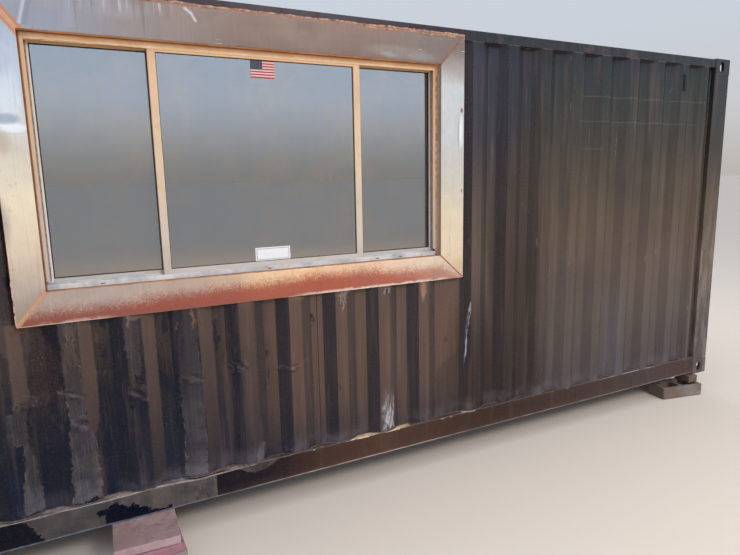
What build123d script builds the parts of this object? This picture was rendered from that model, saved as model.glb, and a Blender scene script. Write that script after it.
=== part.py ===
from build123d import *
import math
import os

os.makedirs("parts", exist_ok=True)

# ---------------------------------------------------------------------------
# A 20 ft steel shipping container used as a cabin, with one wide window.
# Millimetres. X runs along the container (+X = closed end), the window wall
# faces -Y, +Z is up. The origin is on the ground under the middle.
# ---------------------------------------------------------------------------

# overall sizes
L = 6058.0                 # length over the corner castings
W = 2438.0                 # width over the corner castings
H = 2591.0                 # height over the corner castings
HX, HY = L / 2, W / 2
G = 160.0                  # height of the blocks under the corner castings
ZT = G + H                 # top of the upper castings
RAIL_Z0 = G + 12.5         # underside of the side rails
RAIL_H = 144.0             # depth of the bottom side rails
RAIL_Z1 = RAIL_Z0 + RAIL_H
TOPRAIL = 60.0             # square top rail
TOP_Z1 = ZT - 6.5          # top of the top rails
TOP_Z0 = TOP_Z1 - TOPRAIL

# corner castings
CAST_X, CAST_Y, CAST_Z = 178.0, 162.0, 118.0
CAST_WALL = 20.0
CAST_DECK = 28.0
APERTURE = (124.0, 63.5)   # long hole in the top and bottom faces
SIDE_HOLE = (51.0, 79.5)   # holes in the long side faces
END_HOLE = (63.5, 79.5)    # holes in the end faces
HOLE_X_IN = 101.5          # hole centres measured from the end face
HOLE_Y_IN = 89.0           # and from the side face

# sheet and section thicknesses
T_WALL = 2.0
T_POST = 6.0
T_RAIL = 4.5
T_TUBE = 3.0
YW = 1213.0                # outer plane of the side walls, from the middle
YR = 1215.0                # outer plane of the bottom side rails
DEPTH = 36.0               # depth of the wall corrugation
POST_SIDE = 178.0          # width of a corner post seen from the side
XP = HX - 3.0              # outer plane of the corner posts, lengthways
YP = HY - 3.0              # and sideways

# corrugation of the side walls: first outer flats and pitches
FLAT_OUT, SLOPE = 72.5, 68.8
LEFT_FIRST, LEFT_PITCH, LEFT_N = -2720.1, 281.7, 11
RIGHT_FIRST, RIGHT_PITCH, RIGHT_N = 497.6, 280.4, 9

# window: surround plates, reveal, frame
SUR_L, SUR_R, SUR_B, SUR_T = -2040.7, 426.2, 1243.6, 2713.8
REV_L, REV_R, REV_B, REV_T = -1909.7, 259.4, 1392.5, 2538.1
T_SUR = 3.0
FRM_L, FRM_R, FRM_B, FRM_T = -1902.5, 247.4, 1393.0, 2535.1
FACE = -1171.0             # front face of the window frame
FRM_D = 70.0               # depth of the window frame
MUL_1 = (-1381.5, -1345.2)
MUL_2 = (-297.8, -259.5)
STILE_L = -1872.5
STILE_R = 225.2

# floor
DECK_T = 28.0
DECK_Z1 = RAIL_Z1 + 6.0
DECK_Z0 = DECK_Z1 - DECK_T

# supports
PAVER = 305.0
PAVER_T = 46.0
BLOCK = (390.0, 190.0, 100.0)


def box(x0, x1, y0, y1, z0, z1):
    return Pos((x0 + x1) / 2, (y0 + y1) / 2, (z0 + z1) / 2) * Box(
        abs(x1 - x0), abs(y1 - y0), abs(z1 - z0))


def prism(points, vec):
    face = Face(Wire.make_polygon([Vector(*p) for p in points], close=True))
    return Solid.extrude(face, Vector(*vec))


def save(name, shapes):
    if not isinstance(shapes, (list, tuple)):
        shapes = [shapes]
    solids = []
    for s in shapes:
        solids.extend(s.solids())
    out = solids[0] if len(solids) == 1 else Compound(children=solids)
    export_step(out, "parts/%s.step" % name)


def offset_line(pts, t):
    """Parallel polyline at distance t to the left of the path."""
    n = len(pts)
    normals = []
    for i in range(n - 1):
        dx, dy = pts[i + 1][0] - pts[i][0], pts[i + 1][1] - pts[i][1]
        d = math.hypot(dx, dy)
        normals.append((-dy / d, dx / d))
    out = []
    for i in range(n):
        if i == 0:
            nx, ny = normals[0]
            out.append((pts[i][0] + nx * t, pts[i][1] + ny * t))
        elif i == n - 1:
            nx, ny = normals[-1]
            out.append((pts[i][0] + nx * t, pts[i][1] + ny * t))
        else:
            ax, ay = normals[i - 1]
            bx, by = normals[i]
            k = 1.0 + ax * bx + ay * by
            out.append((pts[i][0] + (ax + bx) / k * t,
                        pts[i][1] + (ay + by) / k * t))
    return out


def clip_line(pts, a, b):
    """The part of a polyline with a <= x <= b; x rises along the line."""
    out = []
    for (x0, y0), (x1, y1) in zip(pts[:-1], pts[1:]):
        if x1 <= a or x0 >= b:
            continue
        p, q = (x0, y0), (x1, y1)
        if x0 < a:
            p = (a, y0 + (y1 - y0) * (a - x0) / (x1 - x0))
        if x1 > b:
            q = (b, y0 + (y1 - y0) * (b - x0) / (x1 - x0))
        if not out:
            out.append(p)
        out.append(q)
    return out


# ---------------------------------------------------------------------------
# side wall corrugation, as (x, depth) with depth 0 on the outer flats
# ---------------------------------------------------------------------------
WALL_X0, WALL_X1 = -(HX - POST_SIDE), HX - POST_SIDE
side_line = [(WALL_X0, DEPTH)]
for k in range(LEFT_N):
    x = LEFT_FIRST + k * LEFT_PITCH
    side_line += [(x - SLOPE, DEPTH), (x, 0.0), (x + FLAT_OUT, 0.0),
                  (x + FLAT_OUT + SLOPE, DEPTH)]
for k in range(RIGHT_N):
    x = RIGHT_FIRST + k * RIGHT_PITCH
    side_line += [(x - SLOPE, DEPTH), (x, 0.0)]
    if k < RIGHT_N - 1:
        side_line += [(x + FLAT_OUT, 0.0), (x + FLAT_OUT + SLOPE, DEPTH)]
    else:
        side_line += [(x + 35.0, 0.0), (x + 60.0, DEPTH)]
side_line.append((WALL_X1, DEPTH))


def side_sheet(x0, x1, z0, z1, side):
    """Corrugated sheet; side -1 is the window wall, +1 the back wall."""
    line = clip_line(side_line, x0, x1)
    inner = offset_line(line, T_WALL)
    inner = [(min(max(x, x0), x1), d) for x, d in inner]
    loop = line + inner[::-1]
    pts = [(x, side * (YW - d), z0) for x, d in loop]
    return prism(pts, (0, 0, z1 - z0))


CUT_L, CUT_R = REV_L - T_SUR, REV_R + T_SUR
CUT_B, CUT_T = REV_B - T_SUR, REV_T + T_SUR
save("front_wall_left", side_sheet(WALL_X0, CUT_L, RAIL_Z1, TOP_Z0, -1))
save("front_wall_right", side_sheet(CUT_R, WALL_X1, RAIL_Z1, TOP_Z0, -1))
save("front_wall_below_window", side_sheet(CUT_L, CUT_R, RAIL_Z1, CUT_B, -1))
save("front_wall_above_window", side_sheet(CUT_L, CUT_R, CUT_T, TOP_Z0, -1))
save("back_wall", side_sheet(WALL_X0, WALL_X1, RAIL_Z1, TOP_Z0, 1))

# ---------------------------------------------------------------------------
# corner castings: hollow blocks with a long hole in the deck face and an
# upright oval hole in the side and the end face
# ---------------------------------------------------------------------------


def obround(w, h, plane_pos, through, depth):
    """Oval cutter; through is the axis letter."""
    long_w = w > h
    sk = SlotOverall(max(w, h), min(w, h))
    if not long_w:
        sk = Rot(0, 0, 90) * sk
    body = extrude(sk, amount=depth / 2, both=True)
    if through == "Z":
        return Pos(*plane_pos) * body
    if through == "Y":
        return Pos(*plane_pos) * (Rot(90, 0, 0) * body)
    return Pos(*plane_pos) * (Rot(90, 0, 90) * body)


def casting(sx, sy, z0, top):
    x1, y1 = sx * HX, sy * HY
    x0, y0 = x1 - sx * CAST_X, y1 - sy * CAST_Y
    body = box(min(x0, x1), max(x0, x1), min(y0, y1), max(y0, y1),
               z0, z0 + CAST_Z)
    body = fillet(body.edges().filter_by(Axis.Z), 8.0)
    zc0 = z0 + (CAST_WALL if top else CAST_DECK)
    zc1 = z0 + CAST_Z - (CAST_DECK if top else CAST_WALL)
    ax0, ax1 = sorted((x0 + sx * CAST_WALL, x1 - sx * CAST_WALL))
    ay0, ay1 = sorted((y0 + sy * CAST_WALL, y1 - sy * CAST_WALL))
    body = body - box(ax0, ax1, ay0, ay1, zc0, zc1)
    hx = x1 - sx * HOLE_X_IN
    hy = y1 - sy * HOLE_Y_IN
    zm = z0 + CAST_Z / 2
    zd = z0 + CAST_Z if top else z0
    body = body - obround(APERTURE[0], APERTURE[1], (hx, hy, zd), "Z", 70.0)
    body = body - obround(SIDE_HOLE[0], SIDE_HOLE[1], (hx, y1, zm), "Y", 60.0)
    body = body - obround(END_HOLE[0], END_HOLE[1], (x1, hy, zm), "X", 60.0)
    return body


save("bottom_castings", [casting(sx, sy, G, False)
                         for sx in (-1, 1) for sy in (-1, 1)])
save("top_castings", [casting(sx, sy, ZT - CAST_Z, True)
                      for sx in (-1, 1) for sy in (-1, 1)])

# ---------------------------------------------------------------------------
# corner posts: pressed open sections between the castings
# ---------------------------------------------------------------------------
PZ0, PZ1 = G + CAST_Z, ZT - CAST_Z


def post(sx, sy, end_w, lip_side, lip_end):
    xi = HX - POST_SIDE
    pts = [
        (XP, YP), (xi, YP), (xi, YP - lip_side), (xi + T_POST, YP - lip_side),
        (xi + T_POST, YP - T_POST), (XP - T_POST, YP - T_POST),
        (XP - T_POST, YP - end_w + T_POST),
        (XP - lip_end, YP - end_w + T_POST), (XP - lip_end, YP - end_w),
        (XP, YP - end_w),
    ]
    return prism([(sx * x, sy * y, PZ0) for x, y in pts], (0, 0, PZ1 - PZ0))


save("closed_end_posts", [post(1, sy, 159.0, 48.0, 60.0) for sy in (-1, 1)])
save("door_end_posts", [post(-1, sy, 66.0, 48.0, 110.0) for sy in (-1, 1)])

# ---------------------------------------------------------------------------
# side rails
# ---------------------------------------------------------------------------
RX = HX - CAST_X                      # castings start here, lengthways


def bottom_rail(s):
    web = box(-RX, RX, s * YR, s * (YR - T_RAIL), RAIL_Z0, RAIL_Z1)
    top = box(-RX, RX, s * YR, s * (YR - 48.0), RAIL_Z1 - T_RAIL, RAIL_Z1)
    low = box(-RX, RX, s * YR, s * (YR - 48.0), RAIL_Z0, RAIL_Z0 + T_RAIL)
    return web + top + low


def top_rail(s):
    y0, y1 = s * YW, s * (YW - TOPRAIL)
    outer = box(-RX, RX, y0, y1, TOP_Z0, TOP_Z1)
    t = T_TUBE
    return outer - box(-RX - 1, RX + 1, y0 - s * t, y1 + s * t,
                       TOP_Z0 + t, TOP_Z1 - t)


save("bottom_side_rails", [bottom_rail(s) for s in (-1, 1)])
save("top_side_rails", [top_rail(s) for s in (-1, 1)])

# ---------------------------------------------------------------------------
# end rails
# ---------------------------------------------------------------------------
EY = HY - CAST_Y                      # end rails run between the castings


def tube_y(x0, x1, z0, z1, t, y):
    return box(x0, x1, -y, y, z0, z1) - box(
        x0 + t, x1 - t, -y - 1, y + 1, z0 + t, z1 - t)


save("closed_end_sill", tube_y(XP - 60.0, XP, RAIL_Z0, RAIL_Z1, 4.0, EY))
save("closed_end_header", tube_y(XP - 60.0, XP, TOP_Z0, TOP_Z1, 3.0, EY))
DOOR_X = -(HX - 63.0)                 # outer face of the doors
SILL_X0, SILL_X1 = DOOR_X, DOOR_X + 100.0
HEAD_Z0 = TOP_Z1 - 112.0
save("door_sill", tube_y(SILL_X0, SILL_X1, RAIL_Z0, RAIL_Z1, 4.5, EY))
save("door_header", tube_y(SILL_X0, SILL_X1, HEAD_Z0, TOP_Z1, 4.0, EY))

# ---------------------------------------------------------------------------
# closed end wall: deeper, steeper corrugation between the end posts
# ---------------------------------------------------------------------------
END_D = 45.6
END_X = HX - 9.0
EWY = HY - CAST_Y
end_line = [(-EWY, END_D)]
pitch_e = 250.0
for k in range(8):
    yc = (k - 3.5) * pitch_e
    end_line += [(yc - 73.0, END_D), (yc - 55.0, 0.0), (yc + 55.0, 0.0),
                 (yc + 73.0, END_D)]
end_line.append((EWY, END_D))
end_in = offset_line(end_line, T_WALL)
end_in = [(min(max(a, -EWY), EWY), d) for a, d in end_in]
pts = [(END_X - d, a, RAIL_Z1) for a, d in end_line + end_in[::-1]]
save("closed_end_wall", prism(pts, (0, 0, TOP_Z0 - RAIL_Z1)))

# ---------------------------------------------------------------------------
# roof: flat margins with stamped cross troughs
# ---------------------------------------------------------------------------
ROOF_Z1 = TOP_Z1 + 2.0
TR_PITCH, TR_N, TR_D = 209.0, 25, 20.0
TR_Y = 1060.0
roof_line = [(-RX + 2.0, 0.0)]
for k in range(TR_N):
    xc = (k - (TR_N - 1) / 2) * TR_PITCH
    roof_line += [(xc - 59.0, 0.0), (xc - 45.5, TR_D), (xc + 45.5, TR_D),
                  (xc + 59.0, 0.0)]
roof_line.append((RX - 2.0, 0.0))
roof_in = offset_line(roof_line, T_WALL)
roof_in = [(min(max(x, -RX + 2.0), RX - 2.0), d) for x, d in roof_in]
pts = [(x, -TR_Y, ROOF_Z1 - d) for x, d in roof_line + roof_in[::-1]]
roof = prism(pts, (0, 2 * TR_Y, 0))
for s in (-1, 1):
    ya, yb = sorted((s * (TR_Y - 2.0), s * TR_Y))
    roof = roof + box(-2600, 2600, ya, yb, ROOF_Z1 - TR_D - 2.0, ROOF_Z1)
    ya, yb = sorted((s * TR_Y, s * (YW - 3.0)))
    roof = roof + box(-RX + 2.0, RX - 2.0, ya, yb, ROOF_Z1 - 2.0, ROOF_Z1)
save("roof", roof)
# flat header plates between the corner castings, one at each end
save("roof_header_plates", [
    box(RX - 2.0, XP - 4.0, -EY + 2, EY - 2, ROOF_Z1 - 2.0, ROOF_Z1),
    box(SILL_X0 + 4.0, -RX + 2.0, -EY + 2, EY - 2, ROOF_Z1 - 2.0, ROOF_Z1)])

# ---------------------------------------------------------------------------
# underframe and floor
# ---------------------------------------------------------------------------
members = []
n_cross = 18
x_a, x_b = SILL_X1 + 150.0, XP - 60.0 - 195.0
for k in range(n_cross):
    x = x_a + (x_b - x_a) * k / (n_cross - 1)
    z0, z1, y = RAIL_Z0 + T_RAIL, DECK_Z0, YR - T_RAIL
    c = (box(x, x + 4.0, -y, y, z0, z1)
         + box(x, x + 45.0, -y, y, z0, z0 + 4.0)
         + box(x, x + 45.0, -y, y, z1 - 4.0, z1))
    members.append(c)
save("cross_members", members)
save("floor_deck", box(SILL_X1, XP - 60.0, -(YR - 49.0), YR - 49.0,
                       DECK_Z0, DECK_Z1))

# ---------------------------------------------------------------------------
# cargo doors at the far end, closed
# ---------------------------------------------------------------------------
DZ0, DZ1 = RAIL_Z1 + 12.0, HEAD_Z0 - 12.0
DY1 = YP - 66.0 - 12.0
D_D = 50.0
FR = 60.0


def door(s):
    ya, yb = sorted((s * 6.0, s * DY1))
    x0, x1 = DOOR_X, DOOR_X + D_D
    ring = box(x0, x1, ya, yb, DZ0, DZ1) - box(
        x0 - 1, x1 + 1, ya + FR, yb - FR, DZ0 + FR, DZ1 - FR)
    pocket = box(x0 + 3, x1 + 1, ya + 3, yb - 3, DZ0 + 3, DZ1 - 3) - box(
        x0 + 2, x1 + 2, ya + FR - 3, yb - FR + 3, DZ0 + FR - 3, DZ1 - FR + 3)
    ring = ring - pocket
    # pressed panel with shallow level ribs
    z_a, z_b = DZ0 + FR - 0.5, DZ1 - FR + 0.5
    line = [(z_a, 18.0)]
    n = 5
    step = (z_b - z_a) / n
    for k in range(n):
        zc = z_a + (k + 0.5) * step
        line += [(zc - step * 0.36, 18.0), (zc - step * 0.29, 42.0),
                 (zc + step * 0.29, 42.0), (zc + step * 0.36, 18.0)]
    line.append((z_b, 18.0))
    inner = offset_line(line, T_WALL)
    inner = [(min(max(a, z_a), z_b), d) for a, d in inner]
    pts = [(x0 + d, ya + FR - 0.5, a) for a, d in line + inner[::-1]]
    panel = prism(pts, (0, (yb - ya) - 2 * FR + 1.0, 0))
    return ring + panel


save("door_left", door(-1))
save("door_right", door(1))

gaskets = []
for s in (-1, 1):
    ya, yb = sorted((s * 0.5, s * (YP - 66.0 - 0.5)))
    x0, x1 = DOOR_X + 14.0, DOOR_X + 34.0
    ya2, yb2 = sorted((s * 6.0, s * DY1))
    gaskets.append(box(x0, x1, ya, yb, RAIL_Z1 + 0.5, HEAD_Z0 - 0.5) - box(
        x0 - 1, x1 + 1, ya2, yb2, DZ0, DZ1))
save("door_gaskets", gaskets)

ROD_X = DOOR_X - 27.0
ROD_R = 14.0
ROD_Y = (215.0, 905.0)
rods, gear = [], []
for s in (-1, 1):
    for y in ROD_Y:
        rods.append(Pos(ROD_X, s * y, (250.0 + 2700.0) / 2)
                    * Cylinder(ROD_R, 2700.0 - 250.0))
        for z in (520.0, 1080.0, 1780.0, 2400.0):
            g = (box(DOOR_X - 6.0, DOOR_X, s * y - 48, s * y + 48,
                     z - 22, z + 22)
                 + box(ROD_X - 20.0, DOOR_X - 3.0, s * y - 24, s * y + 24,
                       z - 22, z + 22))
            g = g - Pos(ROD_X, s * y, z) * Cylinder(ROD_R + 0.5, 60.0)
            gear.append(g)
        for z, up in ((RAIL_Z0 + 92.0, 1), (HEAD_Z0 + 62.0, -1)):
            g = (box(DOOR_X - 6.0, DOOR_X, s * y - 50, s * y + 50,
                     z - 26, z + 26)
                 + box(ROD_X - 22.0, DOOR_X - 3.0, s * y - 50, s * y - 24,
                       z - 20, z + 20)
                 + box(ROD_X - 22.0, DOOR_X - 3.0, s * y + 24, s * y + 50,
                       z - 20, z + 20))
            gear.append(g)
save("lock_rods", rods)
save("rod_brackets_and_keepers", gear)

handles = []
for s in (-1, 1):
    for i, y in enumerate(ROD_Y):
        z = 1240.0 + 150.0 * i
        y_a, y_b = (y + 8.0, y + 8.0 + 480.0) if i == 0 else (y - 488.0, y - 8.0)
        ya, yb = sorted((s * y_a, s * y_b))
        h = box(ROD_X - 27.0, ROD_X - 15.0, ya, yb, z - 15, z + 15)
        hub = (box(ROD_X - 27.0, ROD_X + 18.0, s * y - 22, s * y + 22,
                   z - 24, z + 24)
               - Pos(ROD_X, s * y, z) * Cylinder(ROD_R + 0.3, 60.0))
        handles.append(h + hub)
save("door_handles", handles)

hinges = []
for s in (-1, 1):
    for z in (430.0, 1080.0, 1850.0, 2500.0):
        y_post = YP - 66.0
        ya, yb = sorted((s * (y_post - 150.0), s * (y_post - 14.0)))
        blade = box(DOOR_X - 12.0, DOOR_X, ya, yb, z - 40, z + 40)
        lug = Pos(DOOR_X - 22.0, s * (y_post - 16.0), z) * Cylinder(15.0, 80.0)
        hinges.append(blade + lug)
save("door_hinges", hinges)

# ---------------------------------------------------------------------------
# window surround: four mitred flat plates on the outer flats of the wall
# ---------------------------------------------------------------------------
YS0 = -(YW + T_SUR)
ol, orr, ob, ot = SUR_L, SUR_R, SUR_B, SUR_T
il, ir, ib, it = REV_L, REV_R, REV_B, REV_T


def plate(quad):
    return prism([(x, YS0, z) for x, z in quad], (0, T_SUR, 0))


save("surround_top", plate([(ol, ot), (orr, ot), (ir, it), (il, it)]))
save("surround_bottom", plate([(ol, ob), (orr, ob), (ir, ib), (il, ib)]))
save("surround_left", plate([(ol, ob), (ol, ot), (il, it), (il, ib)]))
save("surround_right", plate([(orr, ob), (orr, ot), (ir, it), (ir, ib)]))

# reveal: steel returns from the plates back to the window frame
YB = FACE + FRM_D                     # back of the window frame
save("reveal_head", box(il - T_SUR, ir + T_SUR, -YW, YB, it, it + T_SUR))
save("reveal_sill", box(il - T_SUR, ir + T_SUR, -YW, YB, ib - T_SUR, ib))
save("reveal_sides", [box(il - T_SUR, il, -YW, YB, ib, it),
                      box(ir, ir + T_SUR, -YW, YB, ib, it)])

# ---------------------------------------------------------------------------
# window: extruded frame with an outer track for the fixed middle light and
# an inner track for the two side sashes
# ---------------------------------------------------------------------------
BASE = 4.0
LEG_F, LEG_M, LEG_B = 3.0, 3.0, 3.0
Y1 = FACE + 30.0                      # middle leg
Y2 = FACE + FRM_D - 3.0               # back leg


def comb_z(z_base, sgn, h_front, h_mid, h_back, x0, x1):
    """Head or sill section: a base with three upright legs."""
    za, zb = sorted((z_base, z_base + sgn * BASE))
    s = box(x0, x1, FACE, YB, za, zb)
    for y, t, h in ((FACE, LEG_F, h_front), (Y1, LEG_M, h_mid),
                    (Y2, LEG_B, h_back)):
        za, zb = sorted((z_base, z_base + sgn * h))
        s = s + box(x0, x1, y, y + t, za, zb)
    return s


save("window_head", comb_z(FRM_T, -1, 31.0, 24.0, 31.0, FRM_L, FRM_R))
save("window_sill", comb_z(FRM_B, 1, 26.0, 32.0, 40.0, FRM_L, FRM_R))
jambs = []
for xb, s in ((FRM_L, 1), (FRM_R, -1)):
    xa, xc = sorted((xb, xb + s * BASE))
    j = box(xa, xc, FACE, YB, FRM_B + 40.0, FRM_T - 31.0)
    for y, h in ((FACE, 15.0), (Y1, 15.0), (Y2, 15.0)):
        xa, xc = sorted((xb, xb + s * h))
        j = j + box(xa, xc, y, y + 3.0, FRM_B + 40.0, FRM_T - 31.0)
    jambs.append(j)
save("window_jambs", jambs)

# fixed middle light: two stiles (mullions) and two rails in the outer track
YM0, YM1 = FACE + 3.2, FACE + 27.0
MZ0, MZ1 = FRM_B + BASE, FRM_T - BASE
CG_B, CG_T = 1444.3, 2493.2           # visible glass of the middle light
SG_B, SG_T = 1440.4, 2498.7           # visible glass of the side sashes
T_EXT = 1.8                           # wall of the hollow extrusions


def upright(x0, x1, y0, y1, z0, z1):
    """Hollow extrusion standing upright, open at its ends."""
    t = T_EXT
    return box(x0, x1, y0, y1, z0, z1) - box(
        x0 + t, x1 - t, y0 + t, y1 - t, z0 - 1, z1 + 1)


def level(x0, x1, y0, y1, z0, z1):
    """Hollow extrusion lying level, open at its ends."""
    t = T_EXT
    return box(x0, x1, y0, y1, z0, z1) - box(
        x0 - 1, x1 + 1, y0 + t, y1 - t, z0 + t, z1 - t)


save("window_mullions", [upright(a, b, YM0, YM1, MZ0, MZ1)
                         for a, b in (MUL_1, MUL_2)])
save("middle_light_rails", [
    level(MUL_1[1], MUL_2[0], YM0, YM1, MZ0, CG_B),
    level(MUL_1[1], MUL_2[0], YM0, YM1, CG_T, MZ1)])
# side sashes in the inner track
YS1, YS2 = FACE + 36.0, FACE + 64.0
SL0, SR1 = FRM_L + BASE, FRM_R - BASE
SASH_IN = 34.0                        # meeting stiles behind the mullions
save("sash_stiles", [
    upright(SL0, STILE_L, YS1, YS2, MZ0, MZ1),
    upright(MUL_1[1] - SASH_IN, MUL_1[1], YS1, YS2, MZ0, MZ1),
    upright(MUL_2[0], MUL_2[0] + SASH_IN, YS1, YS2, MZ0, MZ1),
    upright(STILE_R, SR1, YS1, YS2, MZ0, MZ1)])
rails = []
for a, b in ((STILE_L, MUL_1[1] - SASH_IN), (MUL_2[0] + SASH_IN, STILE_R)):
    rails.append(level(a, b, YS1, YS2, MZ0, SG_B))
    rails.append(level(a, b, YS1, YS2, SG_T, MZ1))
save("sash_rails", rails)
GT = 5.0
save("middle_glass", box(MUL_1[1], MUL_2[0], FACE + 14.0, FACE + 14.0 + GT,
                         CG_B, CG_T))
save("sash_glass", [
    box(STILE_L, MUL_1[1] - SASH_IN, FACE + 48.0, FACE + 48.0 + GT,
        SG_B, SG_T),
    box(MUL_2[0] + SASH_IN, STILE_R, FACE + 48.0, FACE + 48.0 + GT,
        SG_B, SG_T)])

# ---------------------------------------------------------------------------
# small ventilators high on the side walls, on outer flats
# ---------------------------------------------------------------------------
vents = []
for s in (-1, 1):
    for xf in (RIGHT_FIRST + 7 * RIGHT_PITCH, LEFT_FIRST + 1 * LEFT_PITCH):
        if s == -1 and xf < 0:
            continue
        ya, yb = sorted((s * YW, s * (YW + 10.0)))
        vents.append(box(xf + 18.0, xf + 58.0, ya, yb, 2486.0, 2616.0))
save("ventilators", vents)

# ---------------------------------------------------------------------------
# supports: two-core hollow blocks with timber packing under the inner edge of
# the corner castings, and a stack of two pavers on a block under each rail
# ---------------------------------------------------------------------------
CORE = (147.0, 126.0)
SHELL = 32.0
hollow_block = Box(*BLOCK)
for sx in (-1, 1):
    core = extrude(RectangleRounded(CORE[0], CORE[1], 28.0),
                   amount=BLOCK[2], both=True)
    hollow_block = hollow_block - Pos(sx * (CORE[0] + SHELL) / 2, 0, 0) * core
blocks, packs = [], []
for sx in (-1, 1):
    for sy in (-1, 1):
        r = Rot(0, 0, sx * sy * 11.5)
        blocks.append(Pos(sx * 2698.0, sy * 1172.0, BLOCK[2] / 2)
                      * (r * hollow_block))
        packs.append(Pos(sx * 2836.0, sy * 1172.0, (BLOCK[2] + G) / 2)
                     * (Rot(0, 0, sx * sy * 7.0)
                        * Box(92.0, 150.0, G - BLOCK[2])))
PX, PY = -1588.0, 1313.5
BASE_Z = RAIL_Z0 - 2 * PAVER_T
tops, lows = [], []
for sy in (-1, 1):
    tops.append(Pos(PX, sy * PY, RAIL_Z0 - PAVER_T / 2)
                * (Rot(0, 0, sy * 2.5) * Box(PAVER, PAVER, PAVER_T)))
    lows.append(Pos(PX + 8.0, sy * (PY + 10.0), RAIL_Z0 - 1.5 * PAVER_T)
                * (Rot(0, 0, -sy * 1.0) * Box(PAVER, PAVER, PAVER_T)))
    blocks.append(Pos(PX + 14.0, sy * (PY + 8.0), BASE_Z / 2)
                  * (Rot(0, 0, -sy * 2.0) * Box(310.0, 300.0, BASE_Z)))
save("pier_blocks", blocks)
save("pier_packing", packs)
save("top_pavers", tops)
save("lower_pavers", lows)
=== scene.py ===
import bpy
import bmesh
import math
import random
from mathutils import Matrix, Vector, noise


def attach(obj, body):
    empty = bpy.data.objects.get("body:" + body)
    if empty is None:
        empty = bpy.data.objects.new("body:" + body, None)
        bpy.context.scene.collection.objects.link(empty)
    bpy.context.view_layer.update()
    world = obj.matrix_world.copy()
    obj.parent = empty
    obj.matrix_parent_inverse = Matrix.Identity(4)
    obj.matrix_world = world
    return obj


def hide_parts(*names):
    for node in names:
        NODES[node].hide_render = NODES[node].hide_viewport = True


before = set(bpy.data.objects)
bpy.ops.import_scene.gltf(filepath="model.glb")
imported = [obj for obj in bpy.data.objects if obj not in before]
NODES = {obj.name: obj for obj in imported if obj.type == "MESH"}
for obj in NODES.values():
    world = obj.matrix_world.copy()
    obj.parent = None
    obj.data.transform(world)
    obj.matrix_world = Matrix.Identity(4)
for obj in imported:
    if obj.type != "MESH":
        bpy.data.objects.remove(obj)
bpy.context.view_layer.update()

random.seed(7)

# ---------------------------------------------------------------------------
# sizes repeated from the solids, in metres
# ---------------------------------------------------------------------------
HX, HY = 3.029, 1.219
ZT = 2.751
YW, YR = 1.213, 1.215
RAIL_Z0, RAIL_Z1 = 0.1725, 0.3165
TOP_Z0, TOP_Z1 = 2.6845, 2.7445
T_WALL = 0.002
DEPTH, FLAT, SLOPE = 0.036, 0.0725, 0.0688
LEFT_FIRST, LEFT_PITCH, LEFT_N = -2.7201, 0.2817, 11
RIGHT_FIRST, RIGHT_PITCH, RIGHT_N = 0.4976, 0.2804, 9
WALL_X = 2.851
SUR_L, SUR_R, SUR_B, SUR_T = -2.0407, 0.4262, 1.2436, 2.7138
REV_L, REV_R, REV_B, REV_T = -1.9097, 0.2594, 1.3925, 2.5381
FRM_L, FRM_R, FRM_B, FRM_T = -1.9025, 0.2474, 1.3930, 2.5351
FACE = -1.171
YS = -1.216


def lin(c):
    c = c / 255.0
    return c / 12.92 if c <= 0.04045 else ((c + 0.055) / 1.055) ** 2.4


def C(r, g, b, k=1.0):
    """Linear colour from 0-255 values, times k."""
    return (min(1, lin(r) * k), min(1, lin(g) * k), min(1, lin(b) * k), 1.0)


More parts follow.
